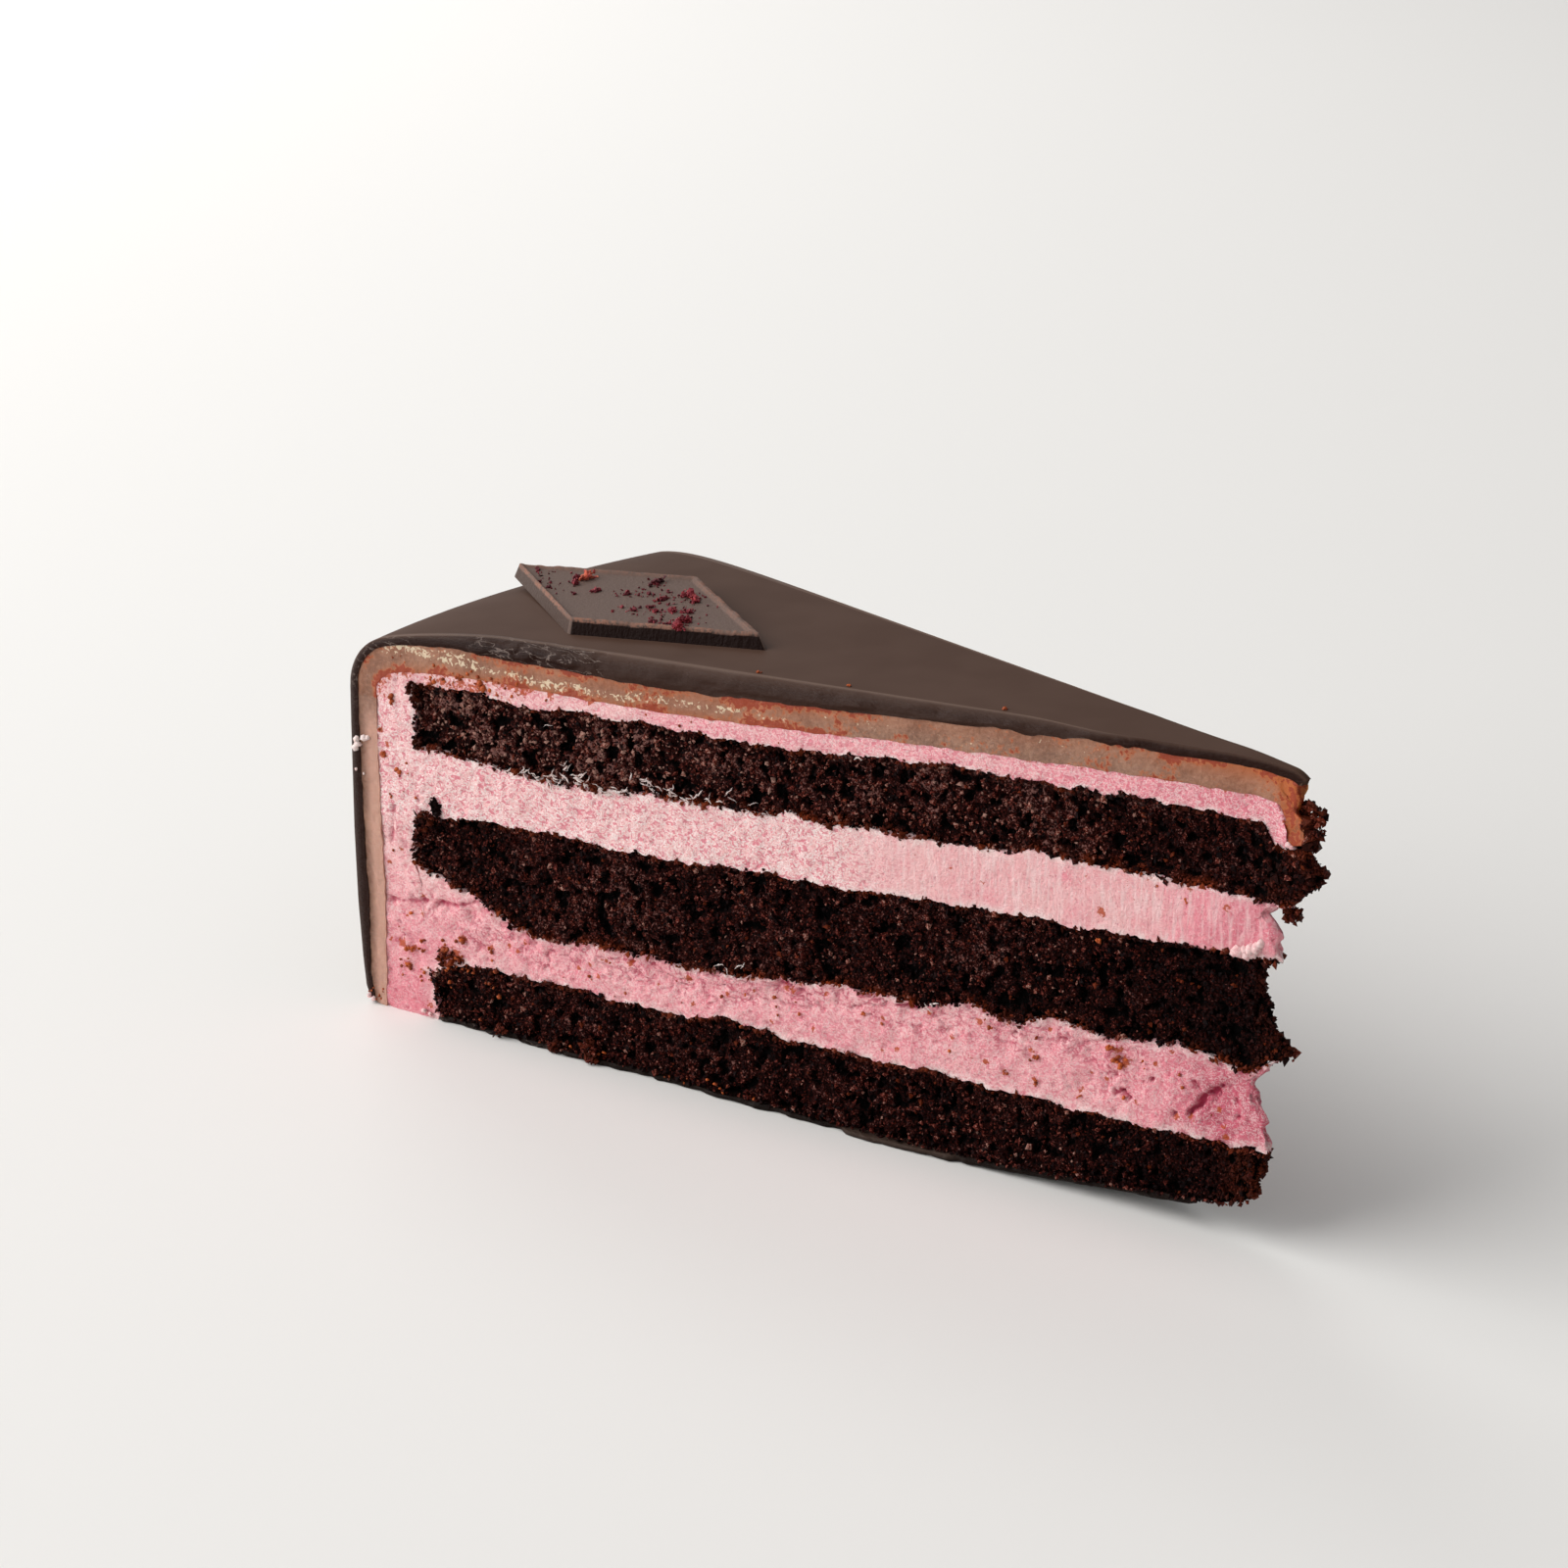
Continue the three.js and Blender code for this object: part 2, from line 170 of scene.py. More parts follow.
# Point of the slice: past the blunt distance the width no longer shrinks, so that a crumbled tip
# stays as wide as it is there
def planPoint(q, side, z, blunt):
    turn = (side - 0.5) * torte["angle"]
    radius = 0.5 * (q + blunt + np.hypot(q - blunt, 3))
    x = torte["middleX"] - (radius * np.cos(turn) + q - radius)
    return np.stack([x, radius * np.sin(turn), z], axis=1)


# Top of the glaze: a slope that falls off towards the shoulder, and bends down and ends in a small
# rounded lip at the tip
def topOf(q):
    bent = torte["tipBend"] * np.maximum(torte["bendFrom"] - q, 0) ** 2
    bent = bent + torte["tipLip"] * np.clip((torte["lipFrom"] - q) / torte["lipReach"], 0, 1) ** 2
    q = np.maximum(q, 0)
    fall = torte["fall"] * (q / torte["radius"]) ** torte["fallPower"]
    return torte["heightAtTip"] - torte["slope"] * q - fall - bent


def glazeUnder(q):
    swell = np.exp(-(((q - torte["glazeSwellAt"]) / torte["glazeSwellReach"]) ** 2))
    return topOf(q) - torte["glazeAtEnds"] - torte["glazeSwell"] * swell


def marzipanUnder(q):
    droop = torte["marzipanDroop"] * (1 - smoothStep(*torte["marzipanDroopAt"], q))
    return glazeUnder(q) - torte["marzipanOnTop"] - droop


# Height of a face between two layers: its line, and noise of three sizes for the ragged edge that
# the knife left on it
def faceHeight(name, q, side):
    spots = spotsOn(q, side, 7.0 * len(name))
    rough = 0.5 * softNoise(spots, 2.6, 11) + 0.4 * softNoise(spots, 1.1, 12)
    rough = rough + 0.3 * softNoise(spots, 0.6, 13)
    return along(faceHeights[name], q) + torte["raggedEdge"] * rough


def coatUnder(q, side):
    droop = torte["coatDroop"] * (1 - smoothStep(*torte["coatDroopAt"], q))
    return faceHeight("spongeTopOver", q, side) - droop


def spongeEnd(z, side):  # where the sponges end towards the rim
    spots = spotsOn(z, side, 0)
    rough = 0.5 * softNoise(spots, 2.2, 21) + 0.4 * softNoise(spots, 0.9, 22)
    return along(walls["sponge"], z) + torte["raggedEdge"] * rough


def baseLift(q):
    share = np.maximum(0, (torte["liftStart"] - q) / torte["liftOver"])
    return torte["liftAtTip"] * share ** torte["liftPower"]


nearOut = np.array([math.sin(halfAngle), -math.cos(halfAngle), 0])  # the way that each cut looks
farOut = nearOut * [1, -1, 1]
tipOut = np.array([1.0, 0, 0])


# Moves points near a cut or the tip straight out of that face: in full at the face, and less and
# less over the given reach behind it
def pushFaces(points, depths, tipBack, reach):
    apex = np.array([torte["middleX"], 0, 0])
    backs = (-((points - apex) @ nearOut), -((points - apex) @ farOut), tipBack)
    moved = points.copy()
    for depth, back, out in zip(depths, backs, (nearOut, farOut, tipOut)):
        moved += (depth * np.clip(1 - np.maximum(back, 0) / reach, 0, 1) ** 2)[:, None] * out
    return moved


def linear(hexColour):  # sRGB hex to linear colour with alpha
    parts = [int(hexColour[i:i + 2], 16) / 255 for i in (1, 3, 5)]
    return [p / 12.92 if p <= 0.04045 else ((p + 0.055) / 1.055) ** 2.4 for p in parts] + [1]


# Starts a material and gives the one function that adds a node to it: the kind, what each input
# holds (a number, a hex colour or another node's output), the output wanted, and its settings
def startMaterial(name):
    material = bpy.data.materials.new(name)
    material.use_nodes = True
    tree = material.node_tree
    tree.nodes.clear()

    def add(kind, inputs=(), output=0, stops=(), **settings):
        node = tree.nodes.new("ShaderNode" + kind)
        for key, value in settings.items():
            setattr(node, key, value)
        for socket, value in inputs.items() if isinstance(inputs, dict) else enumerate(inputs):
            if isinstance(value, bpy.types.NodeSocket):
                tree.links.new(value, node.inputs[socket])
            else:
                node.inputs[socket].default_value = linear(value) if isinstance(value, str) else value
        for number, (at, hexColour) in enumerate(stops):
            element = node.color_ramp.elements[number] if number < 2 else node.color_ramp.elements.new(at)
            element.position, element.color = at, linear(hexColour)
        return node.outputs[output] if len(node.outputs) else material

    return add


# Finishes a material: lays the look's named colours over the base one by one, each by its share,
# and gives the surface the look's fine relief, in mm, its roughness and its gloss
def finishMaterial(add, look, base, layers, height, more=()):
    for share, colour in layers:
        base = add("Mix", {0: share, 6: base, 7: look[colour]}, 2, data_type="RGBA")
    surface = {"Base Color": base, "Roughness": look["roughness"], "Specular IOR Level": look["gloss"],
               "Normal": add("Bump", {"Height": height, "Distance": look["relief"] * mm}, "Normal")}
    return add("OutputMaterial", {"Surface": add("BsdfPrincipled", {**surface, **dict(more)})})


# Baked cocoa sponge, cut with a knife: a torn, moist crumb, rust-brown where it drank fat from the
# cream. The ramp paints its hollows near-black as painted shade and its highest points pale as painted
# highlights. A ramp's two ends come first; noise is [size in mm, detail, roughness], uneven what it adds to
# the tone
spongeLook = dict(
    tone="lift", noise=(0.26, 4, 0.6), uneven=(0.3, 0.7, 0.4), layers=("fat", "smear"), fatFrom=(0.3, 0.8),
    ramp=[(0.3, "#010000"), (1.0, "#74504a"), (0.6, "#180504"), (0.88, "#3a130f")],
    fat="#6c2810", smear="#8a6e69", roughness=0.6, gloss=0.03, relief=0.25)
# Single crumb grains of the same sponge: each of its own brown, from almost black to red-brown, darker
# in the hollows as painted shade, lighter where more light reaches as painted light, and a few pale as
# painted glints
grainLook = dict(
    tone="tone", noise=(0.22, 3, 0.5), uneven=(0.32, 0.68, 0.36), layers=("fat",),
    ramp=[(0.0, "#080203"), (1.0, "#9a7468"), (0.4, "#200807"), (0.72, "#521d16"), (0.9, "#7a3a2e")],
    fat="#82361a", roughness=0.5, gloss=0.05, relief=0.15)
# Freeze-dried raspberry: brittle, matt, crimson to brick red
flakeLook = dict(
    tone="tone", noise=(0.4, 3, 0.5), uneven=(0.3, 0.7, 0.12), layers=(),
    ramp=[(0.0, "#34080f"), (1.0, "#cf6a4e"), (0.4, "#6c1522"), (0.75, "#9c333b")],
    roughness=0.6, gloss=0.3, relief=0.08)


# Crumbly stuff: a colour ramp over a tone that the piece carries and a fine noise, with stains laid
# over it; for the sponge and its grains that tone holds painted shade and painted light
def crumblyMaterial(name, look):
    add = startMaterial(name)
    place = add("TexCoord", output="Object")
    size, detail, rough = look["noise"]
    fine = add("TexNoise", {"Vector": place, "Scale": 1 / (size * mm), "Detail": detail, "Roughness": rough},
               "Fac")
    tone, *stains = (
        add("Attribute", output="Fac", attribute_name=key) for key in (look["tone"], *look["layers"]))
    low, high, spread = look["uneven"]
    tone = add("Math", [tone, add("MapRange", [fine, low, high, -spread, spread])], operation="ADD")
    if "fatFrom" in look:  # only crumb that stands up drank fat
        stains[0] = add("Math", [stains[0], add("MapRange", [tone, *look["fatFrom"]])], operation="MULTIPLY")
    base = add("ValToRGB", [tone], "Color", look["ramp"])
    return finishMaterial(add, look, base, zip(stains, look["layers"]), fine)


# Crumbs that came off on the cream and drank its fat: orange-brown and a little glossy
crumbLook = dict(dark="#7a3216", light="#c05c2a", noise=0.3, roughness=0.45, gloss=0.2, relief=0.1)


def crumbMaterial():
    add = startMaterial("soaked_crumbs")
    place = add("TexCoord", output="Object")
    fine = add("TexNoise", {"Vector": place, "Scale": 1 / (crumbLook["noise"] * mm), "Detail": 3}, "Fac")
    tone = add("Attribute", output="Fac", attribute_name="tone")
    return finishMaterial(add, crumbLook, crumbLook["dark"], [(tone, "light")], fine)


# Whipped raspberry buttercream: soft and slightly translucent, pale where the knife wiped it
# smooth, with brown stains of cocoa fat. Pores and cracks get a deeper pink, partly its own colour and
# partly painted shade; the dips of its curls get painted shade, and its ridges, fine tips and knife
# streaks get painted highlights
creamLook = dict(pore="#b83a58", crimson="#c4566a", deep="#ec8f9a", pale="#eebdba", blush="#d87484",
                 milky="#f5e0da", ridgeHighlight="#fbeae6", stain="#b44a18", roughness=0.6, gloss=0.3, relief=0.3)


def creamMaterial():
    add = startMaterial("raspberry_buttercream")
    place = add("TexCoord", output="Object")
    upright = add("Mapping", {"Vector": place, "Scale": (1, 1, 0.12)})
    level = add("Mapping", {"Vector": place, "Scale": (0.7, 0.7, 1)})
    fine, curl, streak, crackle, spots, breaks, broad = (
        add("TexNoise", {"Vector": on, "Scale": 1 / (size * mm), "Detail": detail, "Roughness": rough,
                         "Distortion": bent}, "Fac")
        for on, size, detail, rough, bent in (
            (place, 0.34, 5, 0.65, 0), (level, 0.5, 2, 0.5, 1.3), (upright, 0.5, 3, 0.5, 0),
            (place, 1.7, 4, 0.5, 0.5), (place, 0.45, 3, 0.5, 0), (place, 1.5, 2, 0.5, 0),
            (place, 5, 3, 0.5, 0)))
    hollow, deep, wiped, curled, stain, milky, torn = (
        add("Attribute", output="Fac", attribute_name=name)
        for name in ("hollow", "deep", "wiped", "curled", "stain", "milky", "torn"))
    deep = add("Math", [deep, add("MapRange", [broad, 0.3, 0.7, -0.2, 0.2])], operation="ADD")
    crimson = add("MapRange", [deep, 1, 2])
    # Curls: painted shade in the dips, and painted highlights on the ridges and the knife streaks
    dipShade = add("Math", [add("MapRange", [curl, 0.47, 0.4, 0, 0.76]), curled], operation="MULTIPLY")
    line = add("Math", [add("Math", [curl, 0.53], operation="SUBTRACT")], operation="ABSOLUTE")
    ridgeHighlight = add("Math", [add("MapRange", [line, 0.055, 0.02, 0, 0.85]), curled], operation="MULTIPLY")
    paintedHighlights = add("Math", [add("MapRange", [fine, 0.54, 0.7, 0, 0.6]), ridgeHighlight], operation="MAXIMUM")
    streak = add("Math", [add("MapRange", [streak, 0.45, 0.65, 0, 0.4]), wiped], operation="MULTIPLY")
    paintedHighlights = add("Math", [paintedHighlights, streak], operation="MAXIMUM")
    # Cracks along the middle line of a noise, broken off here and there, and pores, all in the pore
    # colour: a deeper pink that is partly painted shade
    line = add("Math", [add("Math", [crackle, 0.5], operation="SUBTRACT")], operation="ABSOLUTE")
    crack = add("Math", [add("MapRange", [line, 0.05, 0.012, 0, 0.8]), torn], operation="MULTIPLY")
    crack = add("Math", [crack, add("MapRange", [breaks, 0.46, 0.56])], operation="MULTIPLY")
    hollow = add("Math", [hollow, add("MapRange", [fine, 0.42, 0.3, 0, 0.5])], operation="ADD",
                 use_clamp=True)
    hollow = add("Math", [hollow, crack], operation="MAXIMUM")
    stain = add("Math", [stain, 0.5, spots], operation="MULTIPLY_ADD")
    stain = add("MapRange", [stain, 0.8, 0.9, 0, 0.9])
    # The curls' dips take the blush colour as painted shade, the ridges and tips the ridge colour as painted
    # highlights
    layers = [(deep, "deep"), (crimson, "crimson"), (milky, "milky"), (dipShade, "blush"), (paintedHighlights, "ridgeHighlight"),
              (hollow, "pore"), (stain, "stain")]
    height = add("Math", [crack, -0.15, fine], operation="MULTIPLY_ADD")
    return finishMaterial(add, creamLook, creamLook["pale"], layers, height, {
        "Subsurface Weight": 0.15, "Subsurface Radius": (1.0, 0.45, 0.4), "Subsurface Scale": 0.5 * mm})


# Marzipan rolled out and cut: dense, waxy and a little translucent, with pale almond grain and
# orange-brown stains that cocoa fat left along both its faces
marzipanLook = dict(body="#9e7660", dark="#7a5644", blush="#c69886", warm="#aa5826", soaked="#5c392a",
                    pale="#dcc8aa", halo="#c0622a", stain="#8e2e0c", roughness=0.45, gloss=0.35, relief=0.14)


def marzipanMaterial():
    add = startMaterial("rolled_marzipan")
    place = add("TexCoord", output="Object")
    fine, flecks, spots, broad = (
        add("TexNoise", {"Vector": place, "Scale": 1 / (size * mm), "Detail": detail, "Roughness": rough,
                         "Distortion": bent}, "Fac")
        for size, detail, rough, bent in (
            (0.5, 5, 0.7, 0), (0.62, 3, 0.5, 1), (0.6, 4, 0.5, 0), (5, 3, 0.5, 0)))
    pale, stain, warm, soaked, blush = (
        add("Attribute", output="Fac", attribute_name=name)
        for name in ("pale", "stain", "warm", "soaked", "blush"))
    broad = add("Math", [fine, 1.2, broad], operation="MULTIPLY_ADD")
    grain = add("Math", [pale, 0.5, flecks], operation="MULTIPLY_ADD")
    stain = add("Math", [stain, 0.5, spots], operation="MULTIPLY_ADD")
    layers = [(add("MapRange", [broad, 0.9, 1.3]), "dark"), (blush, "blush"), (warm, "warm"),
              (soaked, "soaked"),
              (add("MapRange", [grain, 0.86, 0.92, 0, 0.85]), "pale"),
              (add("MapRange", [stain, 0.68, 0.8, 0, 0.5]), "halo"),
              (add("MapRange", [stain, 0.79, 0.86, 0, 0.9]), "stain")]
    return finishMaterial(add, marzipanLook, marzipanLook["body"], layers, fine, {
        "Subsurface Weight": 0.2, "Subsurface Radius": (1.0, 0.5, 0.3), "Subsurface Scale": 0.7 * mm})


# Dark chocolate couverture poured thin and set: satin and nearly even, blacker where it was cut, with
# a painted highlight along the crease where the cut edge rolls into the top, and pale crack lines
# that are painted glints on torn ledges and ribs and partly real scuffs at the rim
glazeLook = dict(body="#4c372d", worn="#513c32", cut="#241009", scuffAndGlint="#7a6a62", creaseHighlight="#705b50",
                 roughness=0.55, cutRoughness=0.38, gloss=0.06, relief=0.3)
filmLook = dict(glazeLook, body="#2c1f19", worn="#33241d", cut="#120906")


def glazeMaterial(name, look):
    add = startMaterial(name)
    place = add("TexCoord", output="Object")
    dragged = add("Mapping", {"Vector": place, "Scale": (0.3, 1, 1)})  # the knife dragged it along the cut
    broad, fine, cracks = (
        add("TexNoise", {"Vector": on, "Scale": 1 / (size * mm), "Detail": detail, "Roughness": rough,
                         "Distortion": bent}, "Fac")
        for on, size, detail, rough, bent in (
            (place, 9, 2, 0.5, 0), (dragged, 0.45, 4, 0.65, 0), (dragged, 1.3, 4, 0.5, 0.3)))
    cut, scuffAndGlint, creaseHighlight = (
        add("Attribute", output="Fac", attribute_name=key) for key in ("cut", "scuffAndGlint", "creaseHighlight"))
    # Crack lines in the scuff colour: painted glints, partly real scuffs; the crease colour is a painted
    # highlight
    line = add("Math", [add("Math", [cracks, 0.5], operation="SUBTRACT")], operation="ABSOLUTE")
    scuffAndGlint = add("Math", [add("MapRange", [line, 0.013, 0.004, 0, 0.7]), scuffAndGlint], operation="MULTIPLY")
    layers = [(add("MapRange", [broad, 0.35, 0.65]), "worn"), (cut, "cut"), (creaseHighlight, "creaseHighlight"),
              (scuffAndGlint, "scuffAndGlint")]
    depth = add("Math", [fine, add("MapRange", [cut, 0, 1, 0.02, 1])], operation="MULTIPLY")
    rough = add("MapRange", [cut, 0, 1, look["roughness"], look["cutRoughness"]])
    return finishMaterial(add, look, look["body"], layers, depth, {"Roughness": rough})


# Moulded chocolate: a plaque cast in a plastic mould, with a smooth satin field, fine ribs down its
# sides, and a dry, lighter bloom where the lip is rubbed and chipped. Its sides are darker than the
# field as painted shade, in full on the two that face the tip and by half on the others
plaqueLook = dict(body="#66544c", side="#1b0c08", rubbed="#8a6252", roughness=0.5, gloss=0.06, relief=0.12)


def plaqueMaterial():
    add = startMaterial("moulded_chocolate")
    place = add("TexCoord", output="Object")
    leaning = add("Mapping", {"Vector": place, "Rotation": (0, 0.4, 0), "Scale": (1, 1, 0.1)})
    fine, ribs = (
        add("TexNoise", {"Vector": on, "Scale": 1 / (size * mm), "Detail": detail, "Roughness": rough}, "Fac")
        for on, size, detail, rough in ((place, 0.5, 4, 0.65), (leaning, 0.45, 2, 0.5)))
    side, rubbed = (add("Attribute", output="Fac", attribute_name=name) for name in ("side", "rubbed"))
    rubbed = add("Math", [rubbed, add("MapRange", [fine, 0.42, 0.52])], operation="MULTIPLY")
    height = add("Math", [add("Math", [ribs, side], operation="MULTIPLY"), fine], operation="ADD")
    return finishMaterial(add, plaqueLook, plaqueLook["body"], [(side, "side"), (rubbed, "rubbed")], height)


# Plain matt floor for the render
def floorMaterial(hexColour):
    add = startMaterial("matt_pale_floor")
    return add("OutputMaterial", {"Surface": add("BsdfPrincipled", {
        "Base Color": hexColour, "Roughness": 0.85, "Specular IOR Level": 0.15})})


print("materials")
spongeCrumb = crumblyMaterial("cocoa_sponge_crumb", spongeLook)
spongeGrains = crumblyMaterial("cocoa_sponge_grains", grainLook)
driedRaspberry = crumblyMaterial("freeze_dried_raspberry", flakeLook)
soakedCrumbs = crumbMaterial()
raspberryCream = creamMaterial()
rolledMarzipan = marzipanMaterial()
couverture = glazeMaterial("dark_couverture_glaze", glazeLook)
filmCouverture = glazeMaterial("dark_couverture_film", filmLook)
mouldedChocolate = plaqueMaterial()


# Mesh of a piece: points in mm, quads or triangles, and point attributes. Borders between walls
# stay sharp
def makePiece(name, points, faces, material, attributes=None, wallOf=None, smooth=True):
    mesh = bpy.data.meshes.new(name)
    count, corners = faces.shape
    points = np.maximum(points, [-999, -999, 0.01])  # nothing reaches under the floor
    mesh.vertices.add(len(points))
    mesh.vertices.foreach_set("co", (points * mm).astype(np.float32).ravel())
    mesh.loops.add(count * corners)
    mesh.loops.foreach_set("vertex_index", faces.astype(np.int32).ravel())
    mesh.polygons.add(count)
    mesh.polygons.foreach_set("loop_start", np.arange(0, count * corners, corners, dtype=np.int32))
    mesh.polygons.foreach_set("use_smooth", np.full(count, smooth))
    mesh.update(calc_edges=True)
    if wallOf is not None:
        edgeOf = np.zeros(count * corners, np.int32)
        mesh.loops.foreach_get("edge_index", edgeOf)
        loopWall = np.repeat(wallOf, corners)
        lowest = np.full(len(mesh.edges), 99)
        highest = np.full(len(mesh.edges), -1)
        np.minimum.at(lowest, edgeOf, loopWall)
        np.maximum.at(highest, edgeOf, loopWall)
        mesh.attributes.new("sharp_edge", "BOOLEAN", "EDGE").data.foreach_set("value", lowest != highest)
    for key, values in (attributes or {}).items():
        layer = mesh.attributes.new(key, "FLOAT", "POINT")
        layer.data.foreach_set("value", values.astype(np.float32))
    mesh.materials.append(material)
    piece = bpy.data.objects.new(name, mesh)
    bpy.context.scene.collection.objects.link(piece)
    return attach(piece, "root")


def evenSteps(length, step):  # from 0 to 1 in steps of about that many mm over the length
    return np.linspace(0, 1, max(2, round(length / step)) + 1)


# Many small angular lumps as one mesh: each is an icosahedron, or where coarse an octahedron, whose
# corners are pushed in or out at random, stretched, turned at random and set at its centre. Sizes
# are diameters in mm
def lumps(centres, sizes, seed, uneven=0.3, stretch=0.35, coarse=False):
    draw = np.random.default_rng(seed)
    g = (1 + math.sqrt(5)) / 2
    corners = np.array([[-1, g, 0], [1, g, 0], [-1, -g, 0], [1, -g, 0], [0, -1, g], [0, 1, g],
                        [0, -1, -g], [0, 1, -g], [g, 0, -1], [g, 0, 1], [-g, 0, -1], [-g, 0, 1]])
    corners = corners / math.hypot(1, g)
    sides = np.array([[0, 11, 5], [0, 5, 1], [0, 1, 7], [0, 7, 10], [0, 10, 11], [1, 5, 9], [5, 11, 4],
                      [11, 10, 2], [10, 7, 6], [7, 1, 8], [3, 9, 4], [3, 4, 2], [3, 2, 6], [3, 6, 8],
                      [3, 8, 9], [4, 9, 5], [2, 4, 11], [6, 2, 10], [8, 6, 7], [9, 8, 1]])
    if coarse:
        corners = np.concatenate([np.eye(3), -np.eye(3)])
        sides = np.array([[0, 1, 2], [1, 3, 2], [3, 4, 2], [4, 0, 2],
                          [1, 0, 5], [3, 1, 5], [4, 3, 5], [0, 4, 5]])
    count = len(centres)
    shape = corners * (1 + uneven * draw.uniform(-1, 1, (count, len(corners), 1)))
    shape = shape * (1 + stretch * draw.uniform(-1, 1, (count, 1, 3)))
    a, b, c, d = draw.normal(size=(count, 4)).T
    norm = np.sqrt(a * a + b * b + c * c + d * d)
    a, b, c, d = a / norm, b / norm, c / norm, d / norm
    turn = np.array([[1 - 2 * (c * c + d * d), 2 * (b * c - a * d), 2 * (b * d + a * c)],
                     [2 * (b * c + a * d), 1 - 2 * (b * b + d * d), 2 * (c * d - a * b)],
                     [2 * (b * d - a * c), 2 * (c * d + a * b), 1 - 2 * (b * b + c * c)]])
    shape = np.einsum("ijn,nkj->nki", turn, shape) * (np.asarray(sizes) / 2)[:, None, None]
    points = (centres[:, None, :] + shape).reshape(-1, 3)
    faces = (sides[None] + len(corners) * np.arange(count)[:, None, None]).reshape(-1, 3)
    tone = np.repeat(draw.uniform(0, 1, count), len(corners))
    return points, faces, tone


# Layer between two faces, from the coat's wall to the broken tip
def layerPoints(params, under, over, blunt):
    u, v, w = params
    atTip = np.zeros(len(u))
    tip = along(tipLine, under(atTip, v) * (1 - w) + over(atTip, v) * w)
    tip = tip + torte["tipHollow"] * (2 * v - 1) ** 2
    atRim = np.full(len(u), torte["spongesEndNear"])
    rim = spongeEnd(under(atRim, v) * (1 - w) + over(atRim, v) * w, v)
    q = rim + (tip - rim) * u
    foot = under(q, v)
    return q, planPoint(q, v, foot + (over(q, v) - foot) * w, blunt)


# Crumb relief, in mm below the cut: domed grains of two sizes, slow swells, and hollows where a clump
# fell out. Gives the depth and how hollow each place is
crumb = dict(bigGrain=1.1, smallGrain=0.5, swell=4.5, hollowFrom=(0.28, 0.55), least=0.4)


def crumbDepth(points, seed):
    big, _ = grainNoise(points, crumb["bigGrain"], seed)
    small, _ = grainNoise(points, crumb["smallGrain"], seed + 10)
    hollow = softNoise(points, crumb["bigGrain"], seed + 21)
    hollow = hollow + 0.35 * softNoise(points, crumb["smallGrain"], seed + 22)
    hollow = smoothStep(*crumb["hollowFrom"], hollow)
    depth = crumb["least"] + 0.3 * np.clip(big * 1.25, 0, 1) ** 2 + 0.2 * np.clip(small * 1.25, 0, 1) ** 2
    return depth + 0.6 * hollow + 0.2 * softNoise(points, crumb["swell"], seed + 20), hollow


def cutPoint(q, z, out):  # point on the near cut, moved out of it
    q, z = np.asarray(q, float), np.asarray(z, float)
    return planPoint(q, 0 * q, z, 0.5) + np.asarray(out)[:, None] * nearOut


# Sponges. A clump that was pulled out along the near cut is [q, height, spread, how far out of the
# cut, grains, shade, size of the grains]
layerLength = 120  # from the sponges' end at the rim to the tip
sponges = dict(
    step=0.24, across=18, reach=4.0, smearAlong=(14, 60, 4), brightFrom=(60, 95), darkTip=(30, 2),
    grainEvery=2, grainSize=(0.3, 0.86), edgeEvery=2, edgeSpread=0.15, edgeSize=(0.35, 0.8),
    sponge_bottom=dict(height=9, blunt=6, seed=101, clumps=[
        [116.6, 8.9, 0.8, -0.2, 50, 1, 0.75], [114.9, 9.4, 0.6, -0.2, 24, 1, 0.75],
        [94.2, 1.8, 0.8, 0.3, 40, 1, 0.8], [99, 1.2, 0.5, 0.2, 20, 1, 0.7],
        [108, 1.0, 0.5, 0.2, 20, 1, 0.7],
    ]),
    sponge_middle=dict(height=15, blunt=4, seed=102, clumps=[
        [119.5, 27.6, 0.8, -0.1, 50, 1, 0.75], [-1.0, 25.0, 0.5, -0.6, 20, 1, 0.8],
        [117.3, 29.4, 0.4, -0.3, 40, 0.02, 0.8], [117.9, 30.5, 0.3, -0.3, 24, 0.02, 0.7],
    ]),
    sponge_top=dict(height=9.5, blunt=5, seed=103, clumps=[
        [120.6, 45.4, 0.45, -0.1, 36, 0.8, 0.7], [119.9, 44.4, 0.4, -0.1, 24, 0.8, 0.7],
        [-1.5, 54.6, 0.6, -1.0, 14, 0.9, 1.5], [-2.1, 52.8, 0.5, -1.0, 14, 0.9, 1.7],
        [-2.4, 51.0, 0.5, -1.2, 12, 0.9, 1.6], [-2.2, 53.4, 1.0, -1.0, 110, 1, 0.75],
        [-1.0, 41.9, 0.35, -0.8, 10, 0.9, 1.3], [0.1, 42.1, 0.4, -0.6, 10, 0.9, 1.3],
        [-0.6, 41.8, 0.6, -0.7, 50, 1, 0.7],
    ]),
)
spongeBetween = dict(
    sponge_bottom=(lambda q, v: torte["filmThickness"] - 0.1 + baseLift(q) + 2.2 * (1 - smoothStep(-1, 6, q)),
                   lambda q, v: faceHeight("spongeBottomOver", q, v)),
    sponge_middle=(lambda q, v: faceHeight("spongeMiddleUnder", q, v),
                   lambda q, v: faceHeight("spongeMiddleOver", q, v)),
    sponge_top=(lambda q, v: faceHeight("spongeTopUnder", q, v), coatUnder),
)


